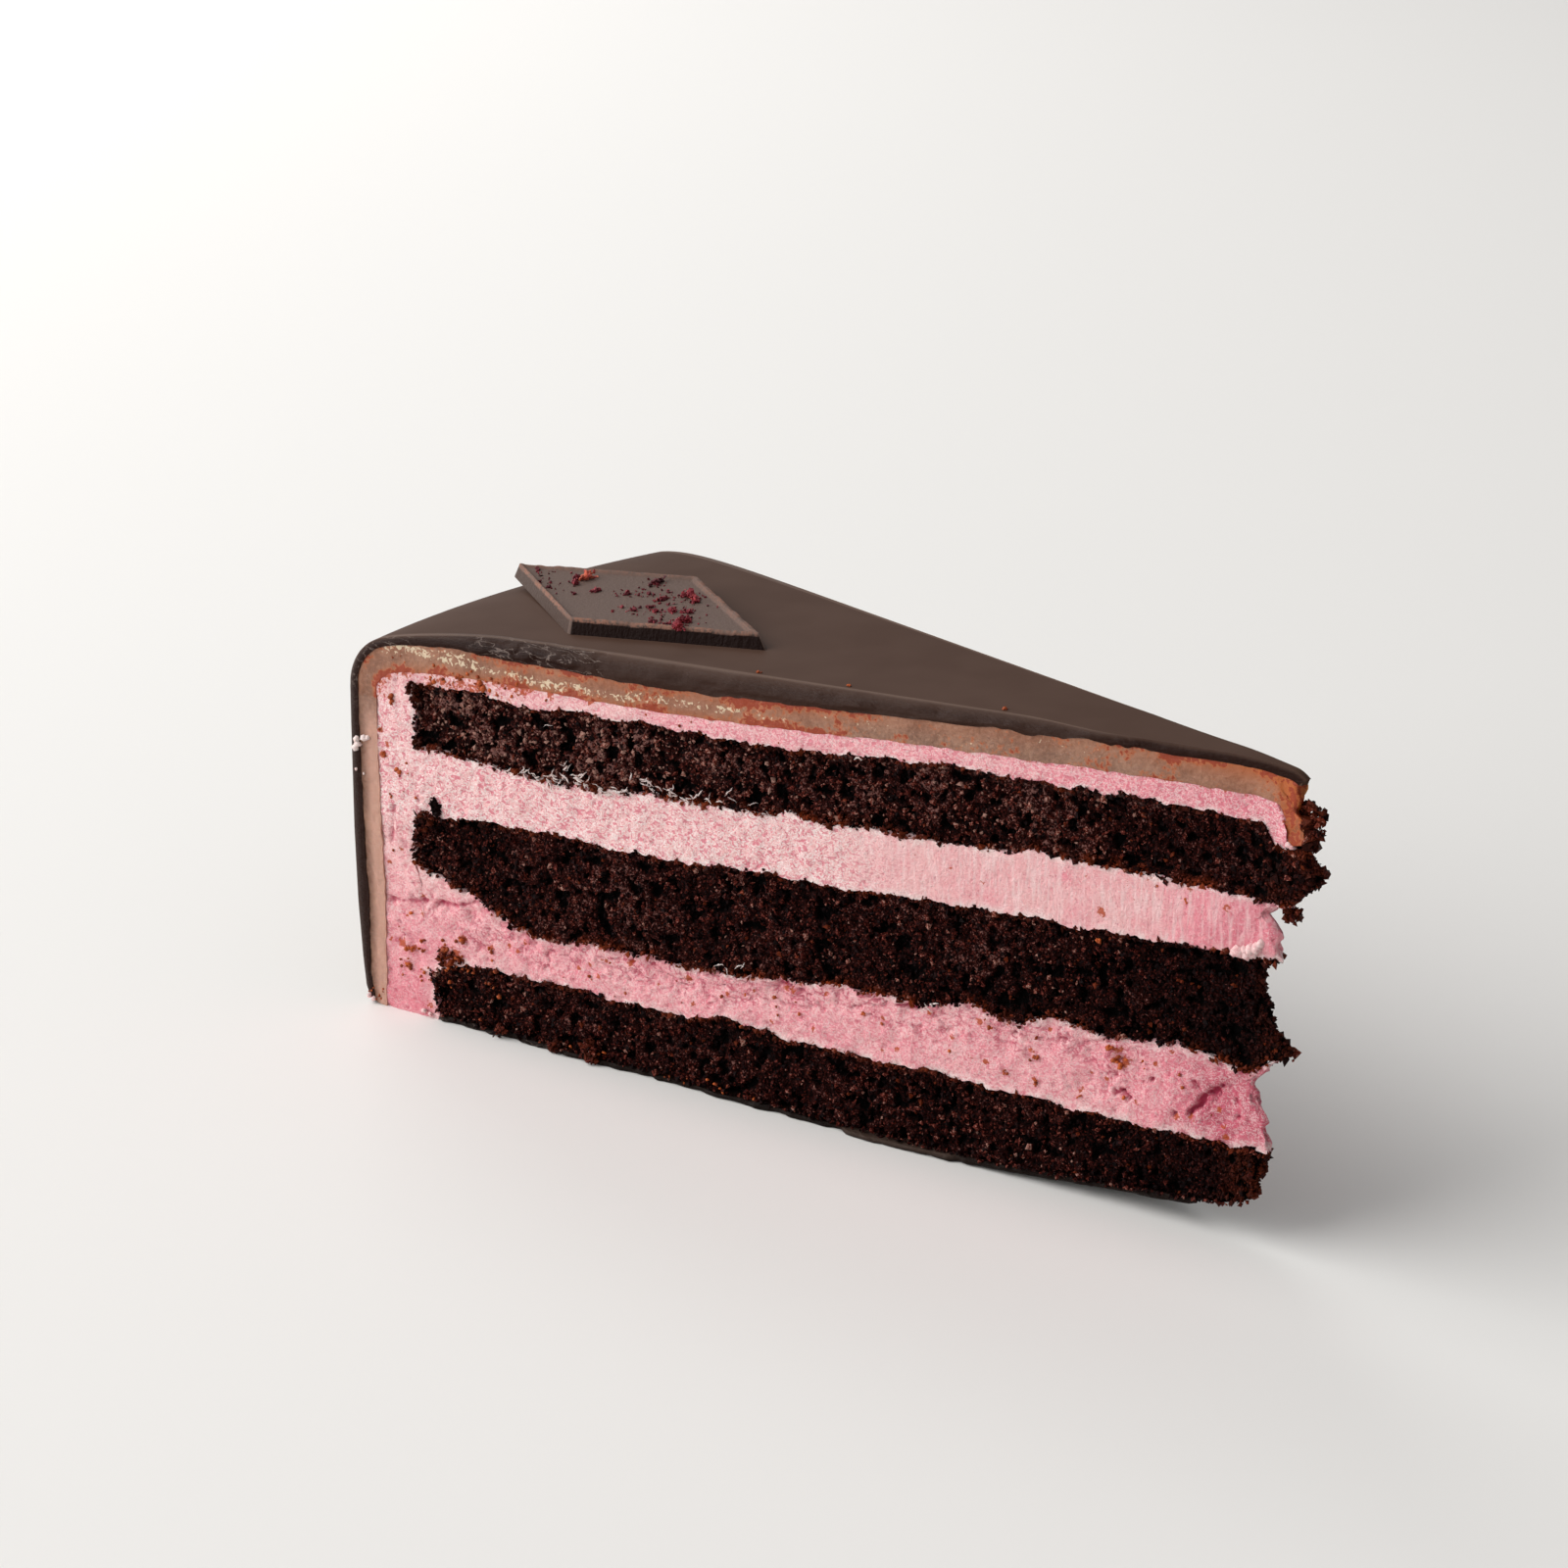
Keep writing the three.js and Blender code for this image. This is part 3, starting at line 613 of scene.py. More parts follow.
# Colours of a sponge: where the knife dragged cream over its top, where it drank fat along its faces
# and at the tip, and how much more of the crumb the light finds
def spongeState(q, w, flat, look):
    seed, z = look["seed"], flat[:, 2]
    fromTop = (1 - w) * look["height"]
    smear = zone(q, *sponges["smearAlong"]) * np.clip(1.3 - fromTop / 0.9, 0, 1)
    smear = smear * smoothStep(-0.1, 0.5, softNoise(flat, 1.2, seed + 8))
    fat = np.exp(-((w * look["height"] / 0.9) ** 2)) + 0.4 * np.exp(-((fromTop / 0.6) ** 2))
    fat = fat * smoothStep(-0.4, 0.5, softNoise(flat, 1.6, seed + 9)) * (z > 6)
    patches = smoothStep(-0.7, 0.5, softNoise(flat, 1.8, seed + 12))
    fat = np.clip(fat + 0.2 * smoothStep(4, 0, q) * patches, 0, 1)
    fat = np.clip(fat + 0.3 * smoothStep(9, 1, q) * (z < 12), 0, 1)
    bright = (0.25 + 0.45 * smoothStep(*sponges["brightFrom"], q)) * (z > 36)
    return 0.5 * smear * (z > 44), fat, bright - 0.52 * smoothStep(*sponges["darkTip"], q)


# Grains of a sponge: some sit on the lattice points of both cuts and the tip, fewer where it is
# hollow, some hang over its border onto the cream, and some are in the clumps
def makeGrains(name, grids, points, flat, w, hollow, fat, bright):
    look = sponges[name]
    draw = np.random.default_rng(look["seed"])
    every, edgeEvery = sponges["grainEvery"], sponges["edgeEvery"]
    small, large = sponges["grainSize"]
    centres, sizes, fats, shades = [], [], [], []
    for wall, out in ((nearWall, nearOut), (farWall, farOut), (tipWall, tipOut)):
        grid = grids[wall]
        rows, columns = np.meshgrid(np.arange(0, grid.shape[0] - every, every),
                                    np.arange(0, grid.shape[1], every), indexing="ij")
        rows = rows + draw.integers(0, every, rows.shape)
        columns = np.minimum(columns + draw.integers(0, every, rows.shape), grid.shape[1] - 1)
        spots = grid[rows, columns].ravel()
        size = small + (large - small) * draw.random(len(spots)) ** 2.4
        keep = hollow[spots] < draw.uniform(0.2, 1.6, len(spots))
        spots, size = spots[keep], size[keep]
        raised = 0.05 + 0.12 * draw.uniform(-1, 1, len(spots))
        centres.append(points[spots] + raised[:, None] * out)
        sizes.append(size)
        fats.append(fat[spots] * draw.uniform(0, 1, len(spots)) + 0.45 * (draw.random(len(spots)) < 0.015))
        # Grains darker in the hollows as painted shade, and lighter where more light reaches as painted light
        shades.append((1 - 0.9 * hollow[spots]) * (1.04 + bright[spots]))
        if wall != tipWall:  # crumbs that hang over the border onto the cream
            edge = np.concatenate([grid[::edgeEvery, 0], grid[::edgeEvery, -1], grid[0, ::edgeEvery]])
            edge = edge[draw.random(len(edge)) < 0.9]
            aside = sponges["edgeSpread"] * draw.normal(size=(len(edge), 2))
            aside[:, 1] += 0.15 * np.where(w[edge] > 0.5, -1, 1)
            shifted = flat[edge] + aside[:, :1] * [1, 0, 0] + aside[:, 1:] * [0, 0, 1]
            centres.append(shifted - 0.12 * out)
            sizes.append(draw.uniform(*sponges["edgeSize"], len(edge)))
            fats.append(np.clip(1.2 * fat[edge], 0, 1) * draw.uniform(0.3, 1, len(edge)))
            shades.append(np.ones(len(edge)))
    for q0, z0, spread, drop, count, shade, size in look["clumps"]:
        at = np.array([q0, z0]) + np.clip(draw.normal(size=(count, 2)), -1.5, 1.5) * spread
        centres.append(cutPoint(at[:, 0], at[:, 1], drop + 0.3 * draw.normal(size=count)))
        sizes.append(draw.uniform(0.5, 1.2, count) * size)
        soaked = q0 > 114 and z0 < 11  # the clumps at the rim's foot
        fats.append((0.9 if soaked else 0.3) * draw.uniform(0, 1, count) * shade)
        shades.append(np.full(count, shade))
    sizes = np.concatenate(sizes)
    points, faces, tone = lumps(np.concatenate(centres), sizes, look["seed"] + 40, 0.45, 0.45, coarse=True)
    shade, fat = (np.repeat(np.concatenate(values), len(points) // len(sizes)) for values in (shades, fats))
    # The few palest grains go to the ramp's top colour: painted glints
    tone = shade * (0.75 * tone + 0.2 * (tone > 0.97))
    attributes = {"tone": tone, "fat": fat}
    grains = makePiece(name + "_grains", points, faces, spongeGrains, attributes, smooth=False)
    return len(faces)


def makeSponge(name):
    look = sponges[name]
    params, quads, wallOf, grids = latticeSkin(
        evenSteps(layerLength, sponges["step"]), np.linspace(0, 1, sponges["across"] + 1),
        evenSteps(look["height"], sponges["step"]))
    u, _, w = params
    q, flat = layerPoints(params, *spongeBetween[name], look["blunt"])
    depth, hollow = crumbDepth(flat, look["seed"])
    lumpy = 1.1 * softNoise(flat, 3.2, look["seed"] + 5)
    points = pushFaces(flat, (-depth, -depth, lumpy - depth), (1 - u) * layerLength, sponges["reach"])
    smear, fat, bright = spongeState(q, w, flat, look)
    # Tone of the crumb: darker the deeper it lies, as painted shade, and lighter where more light reaches it,
    # as painted light
    lift = (1 - np.clip((depth - 0.3) / 0.9, 0, 1)) * (1 + 0.4 * bright)
    attributes = {"lift": lift, "smear": smear, "fat": fat}
    piece = makePiece(name + "_body", points, quads, spongeCrumb, attributes, wallOf)
    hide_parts(name)
    grains = makeGrains(name, grids, points, flat, w, hollow, fat, bright)
    print(name, len(quads) * 2, "triangles,", grains, "in grains")


for spongeName in ("sponge_bottom", "sponge_middle", "sponge_top"):
    makeSponge(spongeName)

# Cream layers: the knife wiped the upper one smooth and dragged the lower one into clumps
creams = dict(
    step=0.27, across=14, reach=3.0, reliefSeed=201, nearPart=0.3,
    cream_lower=dict(height=10, blunt=3.5, seed=201, slot="cream",
                     between=("spongeBottomOver", "spongeMiddleUnder")),
    cream_upper=dict(height=8.5, blunt=3.5, seed=202, slot="pale_cream",
                     between=("spongeMiddleOver", "spongeTopUnder")),
)
# How deep in colour the cream is inside, at the rim's wall and at the tip, how rough it is, and how
# much its curls show, as [height, value]
creamOver = dict(
    inside=[[24, 0.75], [29, 0.2], [43, 0.2], [45, 0.32]],
    atRim=[[0, 1.35], [12, 0.75], [20, 0.35], [28, 0.1], [36, 0.25], [46, 0.3]],
    atTip=[[24, 1.5], [29, 0.95], [43, 0.95], [45, 0.6]],
    rough=[[26, 1.0], [30, 0.4], [42, 0.4], [44, 0.6]],
    curled=[[2, 0.3], [12, 0.5], [24, 0.55], [29, 1]],
)
# Where the near cut's cream is torn open, as [q, height, reach], and the cracks that stand out, as
# [q, height, q, height, width, depth]
tornSpots = [
    [88, 15, 3], [66, 16.8, 4], [56, 17, 3], [46, 17.5, 3], [33, 18.5, 4], [21, 17, 3], [8, 17, 4],
    [118, 16, 3], [123, 10, 2.5], [112, 13, 4], [75, 14.5, 3], [100, 12, 3],
]
creamCracks = [
    [6.4, 19.4, 7.4, 18.0, 0.35, 0.6], [7.4, 18.0, 9.0, 17.2, 0.4, 0.8],
    [9.0, 17.2, 9.6, 15.6, 0.45, 0.9], [9.6, 15.6, 11.0, 14.4, 0.4, 0.9],
    [11.0, 14.4, 13.0, 13.6, 0.3, 0.6], [10.6, 18.6, 9.0, 17.2, 0.3, 0.5],
    [18.5, 14.4, 19.4, 14.9, 0.6, 0.9], [19.4, 14.9, 20.4, 14.6, 0.4, 0.6],
    [5.2, 18.6, 4.6, 15.6, 0.3, 0.5], [17.2, 16.8, 15.4, 17.6, 0.3, 0.5],
    [29, 19.3, 26.4, 20.0, 0.35, 0.5], [125, 15.4, 120.1, 16.3, 0.35, 0.4],
    [120.1, 16.3, 113.8, 17.0, 0.4, 0.5], [113.8, 17.0, 109.2, 19.4, 0.35, 0.4],
    [124.9, 23.5, 124.2, 28.5, 0.35, 0.35], [50, 18.6, 46, 19.0, 0.3, 0.5],
    [66, 17.6, 62, 17.0, 0.35, 0.5], [88, 15.2, 84.6, 15.9, 0.3, 0.5],
]


# How deep in colour and how rough the cream is at a place of the cut. It is pale and even between
# the upper sponges, and rough and deep pink low down, round the rim and at the tip
def creamState(q, z):
    layer = along(creamOver["inside"], z) + 0.42 * zone(q, 14, 80, 10) * (z > 44)
    share = smoothStep(112, 121, q)
    deep = layer + (along(creamOver["atRim"], z) - layer) * share + 0.25 * zone(q, 0, 22, 14) * (z > 43)
    spot = np.exp(-((q - 27.9) ** 2 + (z - 40.3) ** 2) / 0.8)  # one deeper spot in the upper cream
    deep += 0.25 * zone(z, 29, 43, 2) * smoothStep(62, 30, q) + 0.6 * spot
    deep += smoothStep(19, 4, q) * along(creamOver["atTip"], z)
    rough = along(creamOver["rough"], z) + 0.4 * zone(z, 30, 42, 2) * smoothStep(45, 70, q)
    rough += 0.7 * smoothStep(8, 1, q)
    return np.clip(deep, 0, 2), rough + 0.2 * share


# Cream relief, in mm below the cut: fine pores and soft clumps, ragged cracks along the zero lines of
# a noise drawn out sideways, only where the cream is torn, and the listed cracks
def creamDepth(points, q, near):
    seed, z = creams["reliefSeed"], points[:, 2]
    deep, rough = creamState(q, z)
    wobble = softNoise(points, 0.7, seed + 2) + 0.6 * softNoise(points, 0.4, seed + 14)
    torn = 0.5 * smoothStep(0.3, 0.7, softNoise(points, 5, seed + 7)) * (rough > 0.9)
    under = along(faceHeights["spongeMiddleUnder"], q)  # the upper half of the lower cream broke up most
    torn = np.maximum(torn, 0.8 * zone(z, under - 3.2, under, 1.5) * zone(q, 18, 112, 4) * (z < 24))
    for spotQ, spotZ, reach in tornSpots:
        torn = np.maximum(torn, near * np.exp(-((q - spotQ) ** 2 + 2 * (z - spotZ) ** 2) / reach ** 2))
    line = np.abs(softNoise(points * [0.45, 0.45, 1.3], 1.7, seed + 3) + 0.15 * wobble)
    opened = 0.35 * np.clip(1.2 - line / 0.07, 0, 1) * torn
    for q0, z0, q1, z1, width, depth in creamCracks:
        t = np.clip(((q - q0) * (q1 - q0) + (z - z0) * (z1 - z0)) / ((q1 - q0) ** 2 + (z1 - z0) ** 2), 0, 1)
        away = np.hypot(q - q0 - t * (q1 - q0), z - z0 - t * (z1 - z0)) + 0.35 * wobble
        opened = np.maximum(opened, near * depth * np.clip(1.5 - 2 * away / width, 0, 1))
    pore, poreValue = grainNoise(points, 0.9, seed + 11)
    pore = (poreValue > 0.82) * (1 - np.clip(pore * 2.4, 0, 1)) * rough
    clumps = 0.16 * (1 + softNoise(points, 1.8, seed + 5)) + 0.1 * (1 + softNoise(points, 0.7, seed + 6))
    depth = rough * clumps
    depth += 0.25 * torn * (1 + softNoise(points, 1.1, seed + 8)) + 0.3 * pore + 0.9 * opened
    # Also gives how hollow each place is, which the material paints deeper pink, partly as painted shade
    return depth, deep, np.clip(1.8 * opened + 0.6 * pore, 0, 1), np.clip(1.1 * torn, 0, 1)


# Crumbs that were smeared into the near cut's creams until only a rust-brown spot was left, as
# [q, height, size]
rustSpots = [
    [23.1, 37, 1.3], [19.8, 41.1, 0.7], [12.2, 42, 0.9], [7.4, 41, 0.9], [17.1, 42.3, 0.7],
    [25.3, 40.8, 0.6], [31.6, 17.2, 0.9], [31.1, 13.7, 0.8], [24.9, 13.8, 0.8], [20.4, 20, 1.2],
    [19.4, 18.8, 1.6], [15.4, 19.5, 0.7], [21.7, 15.9, 0.6], [12.5, 13.6, 0.9], [10.6, 13.8, 0.8],
    [38.6, 19.2, 1.0], [34.7, 19.7, 0.6], [45.3, 18.8, 1.0], [51.7, 12.1, 0.6], [54.4, 16.4, 0.7],
    [65.4, 17, 0.9], [73.9, 14.3, 0.7], [79.6, 14.9, 1.2], [88.3, 14.8, 1.1], [92, 14.6, 0.9],
    [70, 15.6, 0.6], [84, 13, 0.6], [96, 12.5, 0.7], [118, 46.2, 1.1], [116, 47, 1.4],
    [114.5, 46.9, 1.4], [113, 47.5, 1.5], [111.5, 46.9, 1.4], [110.3, 47.4, 1.5], [116.8, 45.6, 1.1],
    [124.4, 46.6, 1.4], [121.9, 47.2, 1.2], [125.9, 45.4, 1.2], [99.5, 48.6, 1.3], [93.5, 48.9, 1.2],
    [114, 12.2, 1.2], [109.4, 11.9, 1.1], [122.8, 6.7, 1.1], [116.5, 6.1, 0.9], [116.8, 10.3, 1.6],
    [115, 10.2, 1.5], [123.6, 9.6, 1.4], [121.8, 9.2, 1.1], [125.6, 35.4, 1.1], [126, 38.6, 0.9],
    [124.9, 36.9, 0.8], [122.8, 13.8, 0.8], [105.4, 12.6, 0.8], [119.4, 1.6, 1.2],
]


# Point attributes of cream: its state, and stains of crumbs and specks, a milky line along the
# sponges, and where it is wiped smooth or curled
def creamAttributes(points, q, state, edge, near):
    seed, z = creams["reliefSeed"], points[:, 2]
    deep, hollow, torn = state
    speck, speckValue = grainNoise(points, 1.5, seed + 50)
    stain = (speckValue > 0.88) * np.clip(1.7 - speck * 4, 0, 1) * (0.5 + 0.4 * (1 - smoothStep(24, 27, z)))
    for spotQ, spotZ, size in rustSpots:
        stain = np.maximum(stain, near * np.clip(1.2 - np.hypot(q - spotQ, z - spotZ) / (0.8 * size), 0, 1))
    milky = 0.75 * np.exp(-((edge / 0.8) ** 2)) * smoothStep(-0.5, 0.3, softNoise(points, 1.3, seed + 51))
    wiped = zone(z, 30, 42, 1) * zone(q, 5, 46, 16)
    curled = along(creamOver["curled"], z) * (1 - 0.85 * wiped) * (1 - 0.35 * (z > 43))
    return {"hollow": hollow, "deep": deep, "torn": torn, "stain": stain, "milky": milky, "wiped": wiped,
            "curled": curled}


def makeCream(name):
    look = creams[name]
    params, quads, wallOf, _ = latticeSkin(
        evenSteps(layerLength, creams["step"]), np.linspace(0, 1, creams["across"] + 1),
        evenSteps(look["height"], creams["step"]))
    u, v, w = params
    below, above = look["between"]
    q, points = layerPoints(params, lambda q, v: faceHeight(below, q, v),
                            lambda q, v: faceHeight(above, q, v), look["blunt"])
    near = v < creams["nearPart"]
    depth, *state = creamDepth(points, q, near)
    lumpy = softNoise(points, 2.2, look["seed"] + 9) + 0.5 * softNoise(points, 1.0, look["seed"] + 10)
    attributes = creamAttributes(points, q, state, look["height"] * np.minimum(w, 1 - w), near)
    points = pushFaces(points, (-depth, -depth, lumpy - depth), (1 - u) * layerLength, creams["reach"])
    piece = makePiece(name + "_body", points, quads, raspberryCream, attributes, wallOf)
    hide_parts(name)
    print(name, len(quads) * 2, "triangles")


for creamName in ("cream_lower", "cream_upper"):
    makeCream(creamName)

# Shells round the slice. A line runs up the rim, turns with the given radius where the rim meets the
# top, and runs along the top to the tip: t goes from 0 to 1 along it, with a share on each stretch,
# and its steps are finer at the tip
shells = dict(
    length=170, rimShare=0.27, turnShare=0.33, fineFrom=0.965, across=15, reach=3,
    coat=dict(thickness=5.4, step=0.3, blunt=3.5, seed=328),
    marzipan=dict(thickness=3.4, step=0.24, blunt=2.5, seed=318),
)
fineFrom = shells["fineFrom"]
shellSteps = np.concatenate([np.linspace(0, fineFrom, 600), np.linspace(fineFrom, 1, 61)[1:]])
shellLines = dict(
    coatInner=dict(rimAt=spongeEnd, top=coatUnder, radius=0.6, startZ=0, tip=0.3, rough=lambda q: 0),
    coatOuter=dict(rimAt=lambda z, v: along(walls["coat"], z), top=lambda q, v: marzipanUnder(q),
                   radius=3.5, startZ=0, tip=-0.3, rough=lambda q: 0.22),
    marzipanOuter=dict(rimAt=lambda z, v: along(walls["marzipan"], z),
                       top=lambda q, v: glazeUnder(q) + 0.4 * zone(q, 113, 126, 6),
                       radius=6.35, startZ=0.3, tip=-1.0,
                       rough=lambda q: 0.12 + 0.5 * zone(q, 19, 38, 3) + 0.14 * zone(q, 56, 122, 4)),
    glazeOuter=dict(rimAt=lambda z, v: along(walls["rim"], z), top=lambda q, v: topOf(q),
                    radius=torte["shoulderRadius"], startZ=0.3, tip=-1.4, rough=lambda q: 0),
)


def shellLine(name, t, side):
    line, turn = shellLines[name], torte["shoulderTurn"]
    radius, rimShare, turnShare = line["radius"], shells["rimShare"], shells["turnShare"]
    edge = np.array([torte["wallTop"]])
    centreQ = float(line["rimAt"](edge, edge * 0)[0]) - radius
    turnQ = centreQ + radius * math.cos(turn)
    turnZ = float(line["top"](np.array([turnQ]), edge * 0)[0]) - radius * math.sin(turn)
    z = line["startZ"] + (turnZ - line["startZ"]) * np.clip(t / rimShare, 0, 1)
    turned = np.clip((t - rimShare) / (turnShare - rimShare), 0, 1) * turn
    q = turnQ + (line["tip"] - turnQ) * np.clip((t - turnShare) / (1 - turnShare), 0, 1)
    onRim, onTop = t < rimShare, t >= turnShare
    lineQ = np.where(onRim, line["rimAt"](z, side), np.where(onTop, q, centreQ + radius * np.cos(turned)))
    lineZ = np.where(onRim, z, np.where(onTop, line["top"](q, side), turnZ + radius * np.sin(turned)))
    spots = spotsOn(t * shells["length"], side, radius)
    rough = 0.6 * softNoise(spots, 2.4, 31) + 0.4 * softNoise(spots, 0.9, 32)
    rough = line["rough"](lineQ) * rough
    lean = np.where(onTop, math.pi / 2, turned)
    tipNoise = softNoise(spotsOn(lineZ, side, radius), 1.3, 33)
    lineQ = lineQ + 0.45 * smoothStep(3.5, 1.5, lineQ) * onTop * tipNoise
    return lineQ + rough * np.cos(lean), lineZ + rough * np.sin(lean)


# Skin between two of these lines, with q of each point
def shellSkin(inner, outer, look):
    params, quads, wallOf, _ = latticeSkin(
        shellSteps, np.linspace(0, 1, shells["across"]), evenSteps(look["thickness"], look["step"]))
    u, v, w = params
    q0, z0 = shellLine(inner, u, v)
    q1, z1 = shellLine(outer, u, v)
    q = q0 + (q1 - q0) * w
    return params, quads, wallOf, q, planPoint(q, v, z0 + (z1 - z0) * w, look["blunt"])


def makeCoat():
    look = shells["coat"]
    (u, v, w), quads, wallOf, q, points = shellSkin("coatInner", "coatOuter", look)
    near, z = v < creams["nearPart"], points[:, 2]
    depth, *state = creamDepth(points, q, near)
    besideCream = np.maximum(zone(z, 8, 20, 1), zone(z, 29.5, 36.5, 1)) * (q > 116)
    attributes = creamAttributes(points, q, state, look["thickness"] * w + 9 * besideCream, near)
    nearMarzipan = w ** 1.5 * (0.75 * zone(q, 104, 125, 4) + 0.35 * zone(q, 60, 104, 4))
    nearMarzipan = nearMarzipan + 0.5 * w ** 3 * zone(q, -2, 50, 8)
    nearSponge = 0.75 * (1 - w) ** 2 * zone(q, 106, 119, 2)
    attributes["stain"] = np.maximum(attributes["stain"], (nearMarzipan + nearSponge) * (z > 43))
    lumpy = 0.9 * softNoise(points, 2.0, look["seed"]) + 0.35 * softNoise(points, 0.9, look["seed"] + 1)
    points = pushFaces(points, (-depth, -depth, lumpy - depth), (1 - u) * shells["length"], shells["reach"])
    piece = makePiece("cream_coat_body", points, quads, raspberryCream, attributes, wallOf)
    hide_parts("cream_coat")


# Where the marzipan is warm in colour, stained along both its faces, soaked through, pale with almond
# grain along a strip whose middle wanders, and blushed by the cream
def marzipanAttributes(points, q, w):
    z = points[:, 2]
    onTop, atTip = z > 43, smoothStep(2.6, 0.8, q)
    warm = smoothStep(0.2, 0.95, w) * (0.22 + 0.23 * zone(q, 58, 104, 8))
    warm = warm + smoothStep(24, 2, q) * (0.22 + 0.55 * w ** 2)
    warm += 0.5 * np.exp(-(w / 0.35) ** 2) * zone(q, 66, 124, 8) + 0.7 * atTip
    low = smoothStep(0.55, 0, w) * (0.3 + 0.42 * zone(q, 104, 126, 4) + 0.15 * zone(q, 60, 104, 4))
    high = smoothStep(0.5, 1, w) * (0.25 + 0.3 * zone(q, 56, 108, 6) + 0.5 * smoothStep(26, 16, q))
    stain = np.maximum(low, high) + 0.16 * zone(q, 56, 126, 6) + 0.45 * atTip * smoothStep(57.5, 55, z)
    stain += 0.65 * softNoise(points * [0.6, 0.6, 1], 1.7, 316) - 0.06
    soaked = 0.5 * smoothStep(0.4, 0.95, w) * (1 - smoothStep(38, 46, z))
    soaked = soaked + 0.5 * atTip * smoothStep(55.5, 52, z)
    soaked *= smoothStep(-0.9, 0, softNoise(points * [1, 1, 0.5], 1.6, 314))
    wander = 0.25 * softNoise(spotsOn(q, 0 * q, 0), 6, 317)
    middle = np.interp(q, [92, 98, 106, 114, 120, 125], [0.5, 0.25, 0.4, 0.6, 0.8, 0.95]) + wander * (q < 96)
    strip = 0.8 * zone(q, 96, 124, 3) + 0.62 * zone(q, 66, 96, 3) + 0.4 * zone(q, 24, 60, 6)
    strip = strip * np.clip(1.3 - np.abs(w - middle) / 0.32, 0, 1)
    strip = np.minimum(strip + 0.14 * softNoise(points * [0.5, 0.5, 1], 1.6, 315), 0.74)
    return {"stain": stain * onTop, "warm": np.clip(warm * (0.15 + 0.85 * onTop), 0, 1),
            "blush": 0.8 * smoothStep(44, 38, z) * smoothStep(1, 0.4, w),
            "soaked": np.clip(soaked, 0, 1), "pale": strip * onTop + 0.25 * ~onTop}


def makeMarzipan():
    look = shells["marzipan"]
    (u, _, w), quads, wallOf, q, points = shellSkin("coatOuter", "marzipanOuter", look)
    depth = 0.06 * (1 + softNoise(points, 1.4, 312)) + 0.06 * (1 + softNoise(points, 0.5, 313))
    attributes = marzipanAttributes(points, q, w)
    lumpy = 0.9 * softNoise(points, 2.3, look["seed"]) + 0.35 * softNoise(points, 0.9, look["seed"] + 1)
    lumpy = lumpy + 2.0 * zone(w, 0.1, 0.45, 0.1)
    depth += 0.35 * smoothStep(3, 0, q) * (1 + softNoise(points, 1.0, 320))
    points = pushFaces(points, (-depth, -depth, lumpy - depth), (1 - u) * shells["length"], shells["reach"])
    piece = makePiece("marzipan_body", points, quads, rolledMarzipan, attributes, wallOf)
    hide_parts("marzipan_cover")


# Glaze: its cut edge rolls over into the top, further in along the middle of the slice, and is
# torn into ledges where the knife dragged it
glazeEdge = dict(step=0.32, across=41, gather=0.92, through=17, blunt=1.5, upright=0.3, rollPower=1.3,
                 rollAtRim=0.6, rollMiddle=2.3, rollFar=0.5, rollAlong=(36, 108, 14), rollFrom=(-2, 16),
                 tornAlong=(93, 111, 1.5), tornDepth=0.55, topFrom=44, atCut=0.02)


